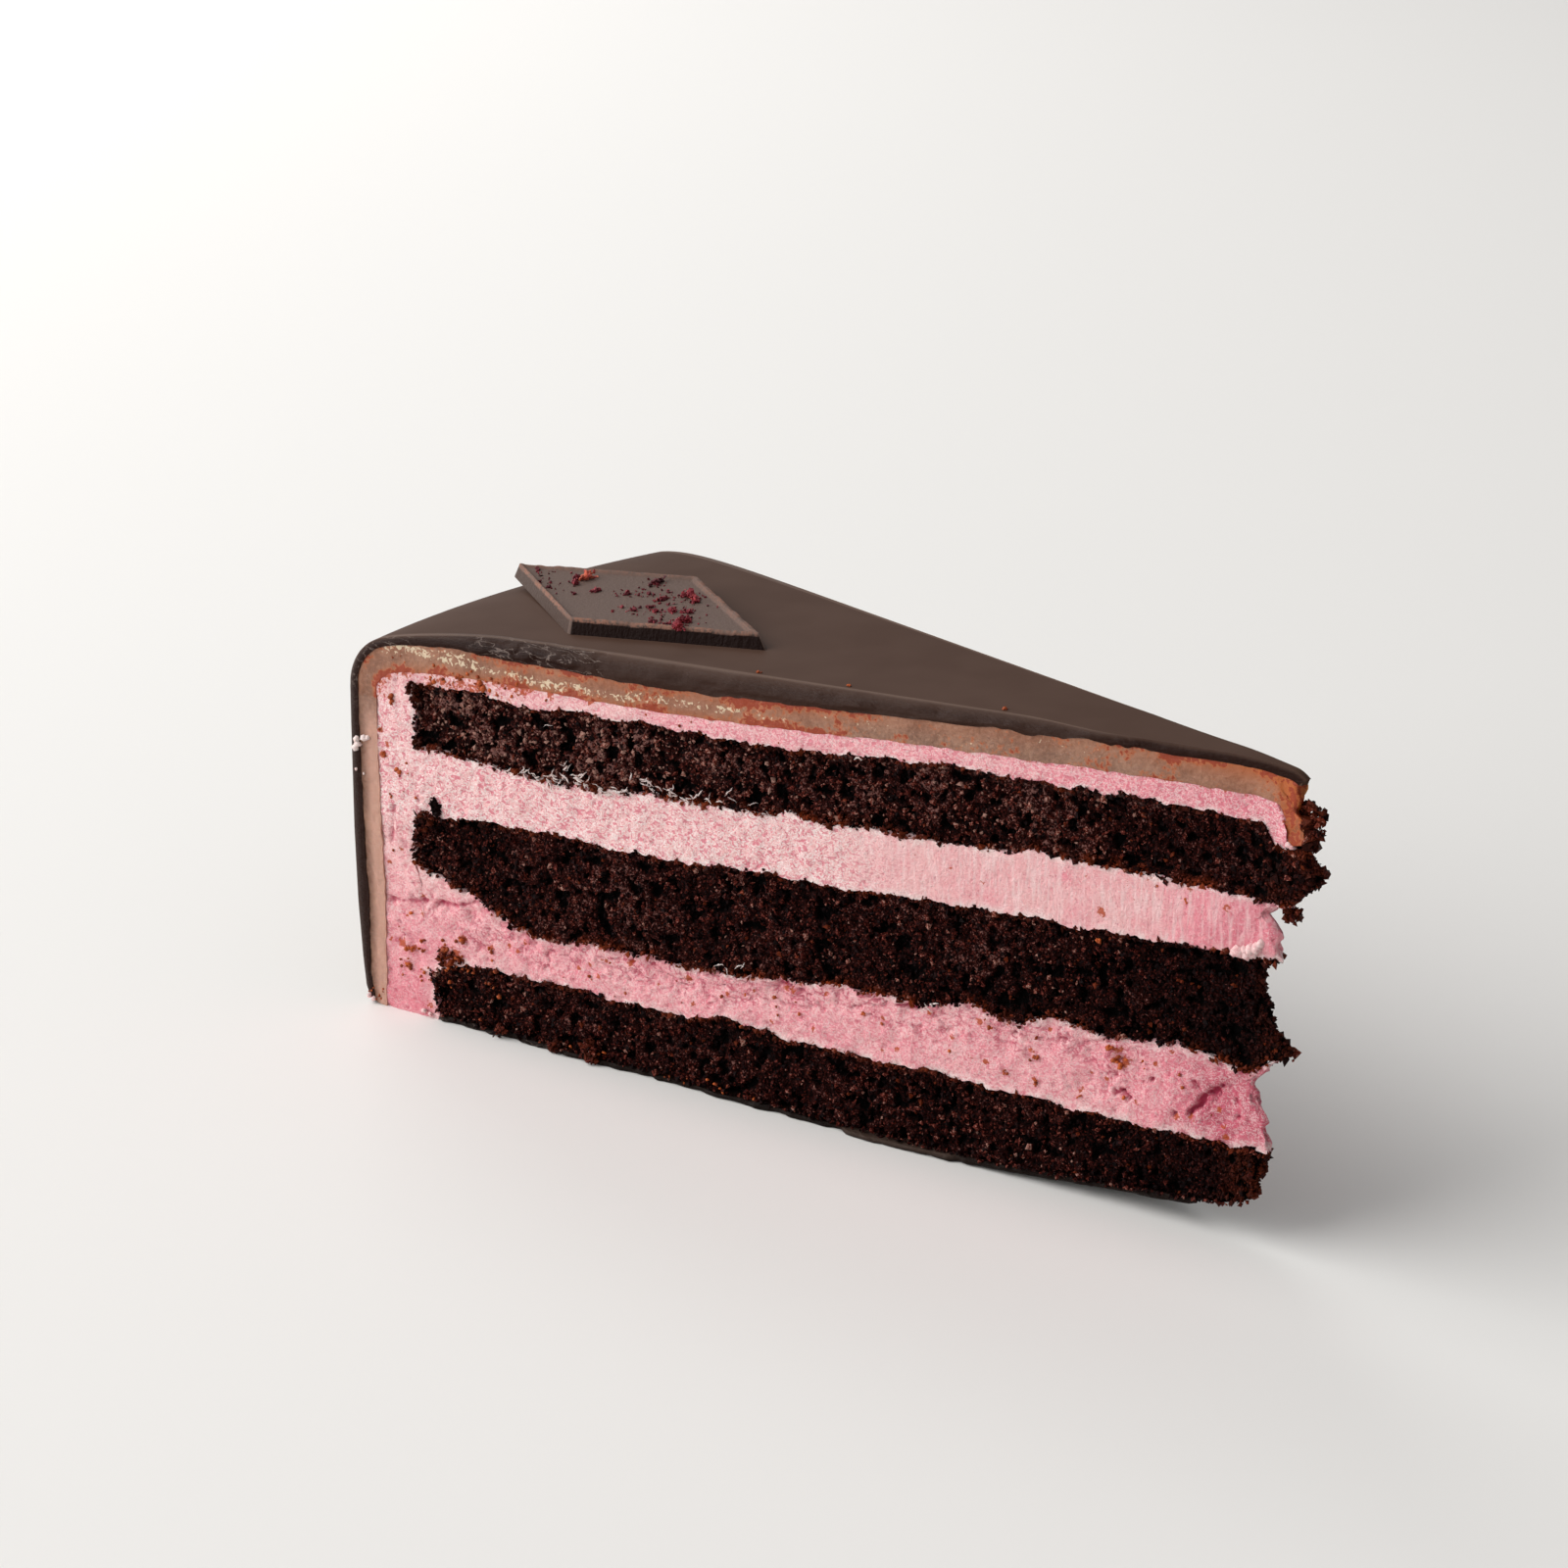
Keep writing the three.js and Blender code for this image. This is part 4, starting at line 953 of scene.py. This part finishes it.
def makeGlaze():
    look = glazeEdge
    across = np.linspace(0, 1, look["across"])
    across = across - look["gather"] * np.sin(2 * math.pi * across) / (2 * math.pi)  # finer towards both cuts
    params, quads, wallOf, _ = latticeSkin(
        evenSteps(shells["length"], look["step"]), across, np.linspace(0, 1, look["through"]))
    u, v, w = params
    q0, z0 = shellLine("marzipanOuter", u, v)
    q1, z1 = shellLine("glazeOuter", u, v)
    upright, power = look["upright"], look["rollPower"]
    turn = np.clip((w - upright) / (1 - upright), 0, 1)
    share = np.where(w < upright, w, upright + (1 - upright) * (1 - (1 - turn) ** power))
    roll = look["rollAtRim"] + (look["rollMiddle"] - look["rollAtRim"]) * zone(q1, *look["rollAlong"])
    turnedIn = turn ** power * smoothStep(*look["rollFrom"], q1)
    q = q0 + (q1 - q0) * share
    points = planPoint(q, v, z0 + (z1 - z0) * share, look["blunt"])
    torn = zone(q1, *look["tornAlong"]) * (points[:, 2] > look["topFrom"]) * (v < 0.5)
    drag = softNoise(np.stack([q / 3.5, points[:, 1] * 0.2, points[:, 2] / 0.9], axis=1), 1.0, 401)
    ledge = softNoise(np.stack([q / 2.2, points[:, 1] * 0.3, points[:, 2] / 0.9], axis=1), 1.0, 402)
    tear = torn * look["tornDepth"] * (np.abs(ledge) * 1.6 - 0.7 + 0.4 * drag)
    out = np.sin(np.pi * w) ** 0.5 * (0.45 * drag * zone(q1, 14, 92, 6) + tear)
    fadeNear, fadeFar = np.clip(1 - 4 * v, 0, 1) ** 2, np.clip(4 * v - 3, 0, 1) ** 2
    inNear = roll * turnedIn * np.clip(1 - 2 * v, 0, 1)
    inFar = look["rollFar"] * turnedIn * np.clip(2 * v - 1, 0, 1)
    points = points + (out * fadeNear - inNear)[:, None] * nearOut
    points = points + (0.5 * out * fadeFar - inFar)[:, None] * farOut
    z = points[:, 2]
    # Cut faces take the dark cut colour in full low down and less towards the top, where the rolled edge
    # turns up to the light, and less along the smooth rolled lip: this lightening is painted light
    cut = (1 - 0.7 * smoothStep(0.5, 1, w)) * np.maximum(v < 1e-6, v > 1 - 1e-6)
    cut = cut * (1 - 0.25 * zone(q1, 30, 90, 12))
    atCut = np.maximum(v < look["atCut"], v > 1 - look["atCut"])
    cut = np.maximum(cut, 0.8 * atCut * smoothStep(50, 44, z) * (q > 60))
    cut = np.maximum(cut, 0.8 * atCut * zone(q1, 99, 111, 12) * (z > look["topFrom"]))
    # Pale crack lines: painted glints on the torn ledges, and partly real scuffs at the rim
    scuffAndGlint = atCut * np.maximum(torn, 0.8 * zone(q1, 122, 132, 4) * smoothStep(38, 50, z))
    # Painted highlight along the crease at the top of the cut face
    creaseHighlight = 0.7 * smoothStep(0.9, 1, w) * atCut * zone(q1, 30, 124, 12)
    attributes = {"cut": cut, "scuffAndGlint": scuffAndGlint, "creaseHighlight": creaseHighlight}
    piece = makePiece("glaze_shell", points, quads, couverture, attributes, wallOf)
    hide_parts("glaze")


print("coat, marzipan and glaze")
makeCoat()
makeMarzipan()
makeGlaze()

# Film of chocolate under the slice: it ends before the rim and the tip, and its edge stands out of
# the cuts by an uneven amount
film = dict(length=112, atRim=117.6, atTip=9, step=0.35, across=15, through=6, blunt=4, reach=3,
            bulge=(42, 56))


def makeFilm():
    params, quads, wallOf, _ = latticeSkin(
        evenSteps(film["length"], film["step"]), np.linspace(0, 1, film["across"]),
        np.linspace(0, 1, film["through"]))
    u, v, w = params
    q = film["atRim"] + (film["atTip"] - film["atRim"]) * u
    thick = torte["filmThickness"] * (0.85 + 0.2 * softNoise(spotsOn(q, v, 0), 5, 501))
    points = planPoint(q, v, baseLift(q) + thick * w, film["blunt"])
    edge = -0.15 + 0.45 * softNoise(points, 5, 502) + 0.35 * softNoise(points, 1.2, 503)
    edge += (0.55 * zone(q, *film["bulge"], 1.5) - 0.4 * zone(q, 108, 118, 5) - 0.5 * smoothStep(36, 24, q)
             + 0.25 * np.sin(np.pi * w))
    points = pushFaces(points, (edge, edge, edge), (1 - u) * film["length"], film["reach"])
    # The scuff lines are painted glints on the film's ribs, and the crease colour is a painted highlight on
    # its bulge
    attributes = {"cut": 0.85 + 0.15 * softNoise(points, 2, 504), "scuffAndGlint": 0.6 * zone(q, 100, 117, 4),
                  "creaseHighlight": 0.3 * zone(q, *film["bulge"], 2) * w}
    piece = makePiece("base_film", points, quads, filmCouverture, attributes, wallOf)
    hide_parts("chocolate_base")


makeFilm()

# Plaque: a rhombic tile on a grid along its two pairs of sides. Its height follows the distance to
# the nearest side: a rounded edge, a low lip, and a flat field inside
plaqueSize = dict(long=47.6, short=22.6, skew=-0.085, thickness=2.0, draft=0.55, lip=0.42, lipWidth=0.55,
                  wideLip=1.7, corner=0.4, edge=0.2, rounding=0.18, chip=0.14, at=100.5, aside=-2.1, turn=-5,
                  lean=0.5, above=0.02, steps=131, layers=11)


def plaqueFrame():  # turn and place of the plaque: lean, then the slope of the top, then the turn
    lean, turn = math.radians(plaqueSize["lean"]), math.radians(plaqueSize["turn"])
    slope = math.atan(torte["slope"])
    turned = Matrix.Rotation(turn, 3, "Z") @ Matrix.Rotation(-slope, 3, "Y") @ Matrix.Rotation(lean, 3, "X")
    place = [torte["middleX"] - plaqueSize["at"], plaqueSize["aside"],
             float(topOf(np.array([plaqueSize["at"]]))[0]) + plaqueSize["above"]]
    return np.array(turned), np.array(place)


def onPlaque(points):
    turned, place = plaqueFrame()
    return points @ turned.T + place


def makePlaque():
    look = plaqueSize
    steps = np.linspace(0, 1, look["steps"])
    params, quads, wallOf, _ = latticeSkin(steps, steps, np.linspace(0, 1, look["layers"]))
    u, v, w = params
    a, b = look["long"] / 2, look["short"] / 2
    wide = 2 * a * b / math.hypot(a, b)
    fromU, fromV = np.minimum(u, 1 - u) * wide, np.minimum(v, 1 - v) * wide
    r = look["corner"]
    inU, inV = np.clip(r - fromU, 0, None), np.clip(r - fromV, 0, None)
    squeeze = np.maximum(inU, inV) / np.maximum(np.hypot(inU, inV), 1e-9)
    rounded = (inU > 0) & (inV > 0)
    fromU = np.where(rounded, r - inU * squeeze, fromU)
    fromV = np.where(rounded, r - inV * squeeze, fromV)
    nearest = np.minimum(fromU, fromV)
    spread = look["draft"] * (1 - w)
    sideU = np.sign(u - 0.5) * (0.5 * wide - fromU + spread * np.clip(1 - fromU / 3, 0, 1))
    sideV = np.sign(v - 0.5) * (0.5 * wide - fromV + spread * np.clip(1 - fromV / 3, 0, 1))
    y = (sideV - sideU) / wide * b
    x = (sideU + sideV) / wide * a + look["skew"] * y
    lipWidth = look["lipWidth"] * np.where((fromV < fromU) & (v > 0.5), look["wideLip"], 1)
    field = look["lip"] * smoothStep(lipWidth - 0.2, lipWidth + 0.05, nearest)
    rounding = look["rounding"] * np.clip(1 - nearest / look["edge"], 0, 1) ** 2
    spots = np.stack([x, y, 0 * x], axis=1)
    chip = smoothStep(0.25, 0.6, softNoise(spots, 2.2, 601)) * np.clip(1 - nearest / 0.7, 0, 1)
    rough = 0.05 * softNoise(spots, 0.8, 602) * np.clip(1 - nearest, 0, 1)
    top = look["thickness"] - field - rounding - look["chip"] * chip + rough
    points = onPlaque(np.stack([x, y, w * top], axis=1))
    rubbed = np.clip(1.3 - nearest / lipWidth, 0, 1) * (w > 0.85)
    facing = np.where(fromU < fromV, u > 0.5, v > 0.5)  # the two sides that look towards the tip
    # Sides darker than the field as painted shade: in full on the two facing the tip, by half on the others
    side = (nearest < 0.02) * np.clip((0.97 - w) * 8, 0, 1) * np.where(facing, 1, 0.5)
    attributes = {"side": side, "rubbed": rubbed * np.clip(0.75 + 0.6 * softNoise(spots, 2.5, 603), 0, 1)}
    piece = makePiece("plaque_tile", points, quads, mouldedChocolate, attributes, wallOf)
    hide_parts("plaque")


# Raspberry on the plaque, as [along, aside, length, width, height, tone]: each is a tight cluster
# of brittle bits, with fine dust round the larger ones
raspberryBits = [
    [-12, 2.2, 2.6, 2.0, 1.3, 0.95], [-12.9, 0.9, 1.6, 1.2, 0.7, 0.35],
    [-11.1, -0.6, 1.6, 1.1, 0.7, 0.4], [-6.7, -0.9, 1.8, 0.8, 0.5, 0.45],
    [-7.9, -3.6, 0.7, 0.5, 0.4, 0.2], [-3.6, 6.5, 2.8, 1.1, 0.8, 0.15], [4, 5.4, 2.4, 1.7, 1.0, 0.6],
    [6.6, 4.4, 1.9, 1.1, 0.7, 0.55], [2.7, 2.3, 1.9, 0.8, 0.5, 0.4], [-2.6, 0.9, 1.5, 0.8, 0.5, 0.35],
    [-0.5, 2.7, 1.0, 0.6, 0.4, 0.3], [3.6, -3.2, 1.2, 0.7, 0.5, 0.3], [4.1, -1.2, 1.0, 0.6, 0.4, 0.4],
    [6.0, -1.7, 1.0, 0.6, 0.4, 0.35], [7.6, -0.3, 1.7, 0.9, 0.6, 0.5], [9.4, 0.8, 1.7, 0.9, 0.6, 0.5],
    [9.1, -4.7, 1.1, 0.6, 0.4, 0.3], [11.6, -4.6, 1.2, 0.7, 0.5, 0.45], [12.3, -2.4, 2.2, 1.2, 0.8, 0.6],
    [13.8, -4.6, 2.2, 1.3, 0.8, 0.55], [11.0, -1.6, 1.2, 0.7, 0.4, 0.4],
    [-20.6, 0.6, 1.6, 0.4, 0.15, 0.2], [-15.5, -3.1, 0.6, 0.4, 0.3, 0.2],
    [-12.7, -3.9, 0.6, 0.5, 0.3, 0.2],
]


def makeRaspberry():
    draw = np.random.default_rng(611)
    field = plaqueSize["thickness"] - plaqueSize["lip"]
    centres, sizes, tones = [], [], []
    for x, y, length, width, height, tone in raspberryBits:
        count = int(12 + 13 * length)
        turn = draw.uniform(0, math.pi)
        spread = draw.normal(size=(count, 3)) * [length / 4.4, width / 4.4, height / 5]
        spread[:3] *= 0.5  # the first three are the largest bits, near the middle
        c, s = math.cos(turn), math.sin(turn)
        spread[:, :2] = spread[:, :2] @ np.array([[c, s], [-s, c]])
        centres.append(np.array([x, y, field + height * 0.32]) + spread)
        size = draw.uniform(0.25, 0.6, count) * (0.45 + 0.15 * length)
        size[:3] = 0.62 * width
        sizes.append(size)
        tones.append(np.clip(tone + draw.uniform(-0.2, 0.2, count), 0, 1))
    dust, dustFrom = 220, 5  # the first five bits have no dust round them
    home = draw.integers(dustFrom, len(raspberryBits), dust)
    around = np.array(raspberryBits)[home, :2] + draw.normal(size=(dust, 2)) * [1.5, 1.1]
    half = np.array([plaqueSize["long"], plaqueSize["short"]]) / 2
    around *= np.minimum(1, 0.85 / np.sum(np.abs(around) / half, axis=1))[:, None]
    centres.append(np.column_stack([around, np.full(dust, field + 0.08)]))
    sizes.append(draw.uniform(0.12, 0.4, dust))
    tones.append(draw.uniform(0.1, 0.6, dust))
    centres = np.concatenate(centres)
    centres[:, 2] = np.maximum(centres[:, 2], field + 0.05)
    points, faces, _ = lumps(onPlaque(centres), np.concatenate(sizes), 612, uneven=0.5, stretch=0.7)
    piece = makePiece("raspberry_flakes", points, faces, driedRaspberry,
                      {"tone": np.repeat(np.concatenate(tones), 12)}, smooth=False)


print("plaque")
makePlaque()
makeRaspberry()

# Loose bits on the near cut, as [q, height, size]; the highest of them lie on the glaze behind its
# rolled edge. The strips hold more of them, as (from q, to q, from height, to height, count)
crumbsOnCut = [
    [123.8, 43.2, 1.2], [125.6, 35.4, 0.7], [123.3, 33.9, 0.7], [124.6, 30, 0.5], [126.1, 38.7, 0.4],
    [117.5, 46.6, 0.9], [112.9, 48.3, 0.9], [109.9, 47.7, 1.2], [116.6, 9.9, 1.1], [114.6, 9.6, 0.9],
    [122.4, 9.1, 0.9], [114, 12.2, 0.8], [109.4, 11.9, 0.7], [122.8, 6.7, 0.8], [31, 16.7, 0.6],
    [30.9, 13.3, 0.6], [20.2, 18.9, 1.1], [21.5, 20.1, 0.8], [25.1, 12.9, 0.5], [34.9, 13.5, 0.5],
    [37, 18.8, 0.6], [54.4, 16.4, 0.5], [23.3, 33.3, 0.8], [16.2, 41.6, 0.4], [12.5, 40.6, 0.5],
    [71.2, 56.1, 0.5], [37.9, 57, 0.6], [58.6, 55.5, 0.5],
]
crumbStrips = [
    (104, 124, 46.8, 49.4, 30), (60, 102, 47.6, 49.8, 8), (108, 124, 5, 12, 40), (4, 60, 12, 20, 14),
    (60, 100, 10, 16, 16), (120, 126, 14, 46, 8), (66, 118, 0.6, 2.0, 18), (126.5, 129.5, 0.4, 2.4, 14),
]
crumbPlace = dict(perSpot=5, glazeFrom=54.5, onGlaze=-3.2, onCut=-0.16, above=0.1, size=(0.2, 0.55))


def makeLooseCrumbs():
    draw = np.random.default_rng(701)
    near = np.repeat(np.array(crumbsOnCut), crumbPlace["perSpot"], axis=0)
    near[:, :2] += draw.normal(size=(len(near), 2)) * near[:, 2:] * 0.3
    near[:, 2] *= draw.uniform(0.45, 0.8, len(near))
    for lowQ, highQ, lowZ, highZ, count in crumbStrips:
        near = np.concatenate([near, np.column_stack([
            draw.uniform(lowQ, highQ, count), draw.uniform(lowZ, highZ, count),
            draw.uniform(*crumbPlace["size"], count)])])
    onTop = near[:, 1] > crumbPlace["glazeFrom"]
    height = np.where(onTop, topOf(near[:, 0]) + crumbPlace["above"], near[:, 1])
    centres = cutPoint(near[:, 0], height, np.where(onTop, crumbPlace["onGlaze"], crumbPlace["onCut"]))
    points, faces, tone = lumps(centres, near[:, 2], 702)
    piece = makePiece("loose_crumbs", points, faces, soakedCrumbs, {"tone": tone})


# Cream that the knife dragged over the near cut's sponge, as [q, height, spread along, spread up,
# strands], and the larger dabs, as [q, height, size]
strandsAt = [
    [105, 37.6, 1.6, 0.25, 8], [100.5, 37.6, 1.2, 0.3, 12], [97.8, 38.8, 0.6, 0.5, 8],
    [95.4, 38.1, 0.7, 0.3, 10], [92.8, 37.8, 0.9, 0.3, 11], [89.5, 38.2, 0.9, 0.25, 10],
    [86.6, 40.0, 0.6, 0.35, 6], [84.4, 39.6, 0.7, 0.3, 7], [81.6, 39.3, 0.8, 0.25, 7],
    [79.3, 39.3, 0.6, 0.2, 6], [73.9, 40.5, 0.5, 0.15, 2], [75.6, 39.4, 0.8, 0.2, 3],
    [71.1, 39.8, 0.4, 0.2, 2], [69, 39.6, 0.5, 0.2, 2], [101, 44, 0.4, 0.3, 1], [73, 18.4, 1.6, 0.3, 4],
    [46, 20.3, 0.9, 0.3, 3], [55, 48.6, 3, 0.6, 1], [94.4, 2.5, 0.3, 0.3, 2],
]
creamDab = [
    [5.6, 36.1, 1.5], [4.9, 36.4, 1.7], [4.1, 36.8, 1.8], [3.4, 37.2, 1.7], [2.9, 37.7, 1.3],
    [6.2, 35.8, 1.0], [4.6, 36.0, 1.3], [3.7, 36.2, 1.2], [129.6, 36.7, 1.0], [129.8, 35.6, 1.1],
    [129.5, 36.1, 1.0], [128.5, 37.1, 0.8], [127.9, 37.3, 0.7], [129.9, 32.6, 0.5], [128.7, 32.2, 0.4],
    [0.2, 50.2, 1.1], [-0.4, 50.0, 1.2], [0.5, 49.5, 0.9], [129.0, 1.0, 0.8], [128.3, 0.6, 0.8],
    [119.2, 0.6, 0.9], [120.2, 0.9, 0.8],
]
strandLook = dict(lumps=9, step=0.14, thickness=0.25, curl=0.32)


# Each strand is a chain of small lumps: its heading starts near the cut's own line and turns by a
# random bit at every lump, and it thins towards both ends
def makeSmear():
    draw = np.random.default_rng(711)
    places, dabs = np.array(strandsAt), np.array(creamDab)
    starts = np.repeat(places, places[:, 4].astype(int), axis=0)
    count, length = len(starts), strandLook["lumps"]
    heading = draw.normal(size=(count, 1)) * 0.5 + 0.1
    heading = heading + np.cumsum(draw.normal(size=(count, length)) * strandLook["curl"], axis=1)
    step = strandLook["step"] * draw.uniform(0.5, 1.5, (count, 1))
    begin = starts[:, :2] + draw.normal(size=(count, 2)) * starts[:, 2:4]
    q = begin[:, :1] - np.cumsum(step * np.cos(heading), axis=1)
    z = begin[:, 1:] - np.cumsum(step * np.sin(heading), axis=1)
    taper = np.sin(math.pi * (np.arange(length) + 0.7) / (length + 0.4)) ** 0.6
    size = strandLook["thickness"] * taper * draw.uniform(0.6, 1.3, (count, 1))
    out = np.repeat(draw.uniform(-0.1, 0.25, count), length)
    first = lumps(cutPoint(q.ravel(), z.ravel(), out), size.ravel(), 712, 0.2, 0.25, coarse=True)
    second = lumps(cutPoint(dabs[:, 0], dabs[:, 1], 0 * dabs[:, 0]), dabs[:, 2], 714, 0.2, 0.35)
    points = np.concatenate([first[0], second[0]])
    faces = np.concatenate([first[1], second[1] + len(first[0])])
    none = np.zeros(len(points))
    pink = none.copy()
    atTip, atFoot = dabs[:, 0] < 20, dabs[:, 1] < 2  # the dabs there are pinker
    pink[len(first[0]):] = np.repeat(atTip | atFoot, len(second[0]) // len(dabs))
    attributes = {"hollow": none, "deep": 0.5 * pink, "torn": none, "stain": none, "milky": 1 - 0.5 * pink,
                  "wiped": none, "curled": 0.4 * pink}
    piece = makePiece("cream_smear", points, faces, raspberryCream, attributes)


print("loose crumbs and smears")
makeLooseCrumbs()
makeSmear()

# Camera where the photograph was taken from: yaw from +Y towards +X, pitch down, and roll
cameraLook = dict(place=(0.28837, -0.32452, 0.20865), yaw=-42.947, pitch=21.193, roll=0.406,
                  lens=87.75, sensor=36.0)


def makeCamera():
    yaw, pitch, roll = (math.radians(cameraLook[k]) for k in ("yaw", "pitch", "roll"))
    forward = np.array([math.sin(yaw) * math.cos(pitch), math.cos(yaw) * math.cos(pitch), -math.sin(pitch)])
    level = np.array([math.cos(yaw), -math.sin(yaw), 0])
    upright = np.cross(level, forward)
    right = level * math.cos(roll) + upright * math.sin(roll)
    up = upright * math.cos(roll) - level * math.sin(roll)
    data = bpy.data.cameras.new("camera")
    data.lens, data.sensor_width = cameraLook["lens"], cameraLook["sensor"]
    data.clip_start, data.clip_end = 0.01, 100
    camera = bpy.data.objects.new("camera", data)
    bpy.context.scene.collection.objects.link(camera)
    turned = np.eye(4)
    turned[:3, 0], turned[:3, 1], turned[:3, 2] = right, up, -forward
    turned[:3, 3] = cameraLook["place"]
    camera.matrix_world = Matrix(turned.tolist())
    bpy.context.scene.camera = camera


# Plain pale floor, a large soft light high on the left, a small one on the floor behind, and an even
# white surround
stageLook = dict(floor="#ebe8e4", floorReach=6.0, world="#f3f6f9", worldStrength=0.31,
                 key=dict(place=(-0.95, -0.88, 0.82), aim=(0, 0, 0.03), power=40.5, size=1.9),
                 back=dict(place=(-1.05, 0.5, 0.8), aim=(-0.85, 0.4, 0), power=4.5, size=0.6))


def makeLight(name, place, aim, power, size):
    data = bpy.data.lights.new(name, "AREA")
    data.energy, data.size = power, size
    light = bpy.data.objects.new(name, data)
    bpy.context.scene.collection.objects.link(light)
    light.location = place
    light.rotation_euler = (Vector(aim) - Vector(place)).to_track_quat("-Z", "Y").to_euler()


def makeStage():
    mesh = bpy.data.meshes.new("floor")
    r = stageLook["floorReach"]
    mesh.from_pydata([(-r, -r, 0), (r, -r, 0), (r, r, 0), (-r, r, 0)], [], [(0, 1, 2, 3)])
    mesh.materials.append(floorMaterial(stageLook["floor"]))
    floor = bpy.data.objects.new("floor", mesh)
    bpy.context.scene.collection.objects.link(floor)
    world = bpy.data.worlds.new("soft_surround")
    world.use_nodes = True
    background = world.node_tree.nodes["Background"]
    background.inputs["Color"].default_value = linear(stageLook["world"])
    background.inputs["Strength"].default_value = stageLook["worldStrength"]
    bpy.context.scene.world = world
    for name in ("key", "back"):
        makeLight(name, **stageLook[name])
    bpy.context.scene.view_settings.view_transform = "Standard"


print("camera and stage")
makeCamera()
makeStage()
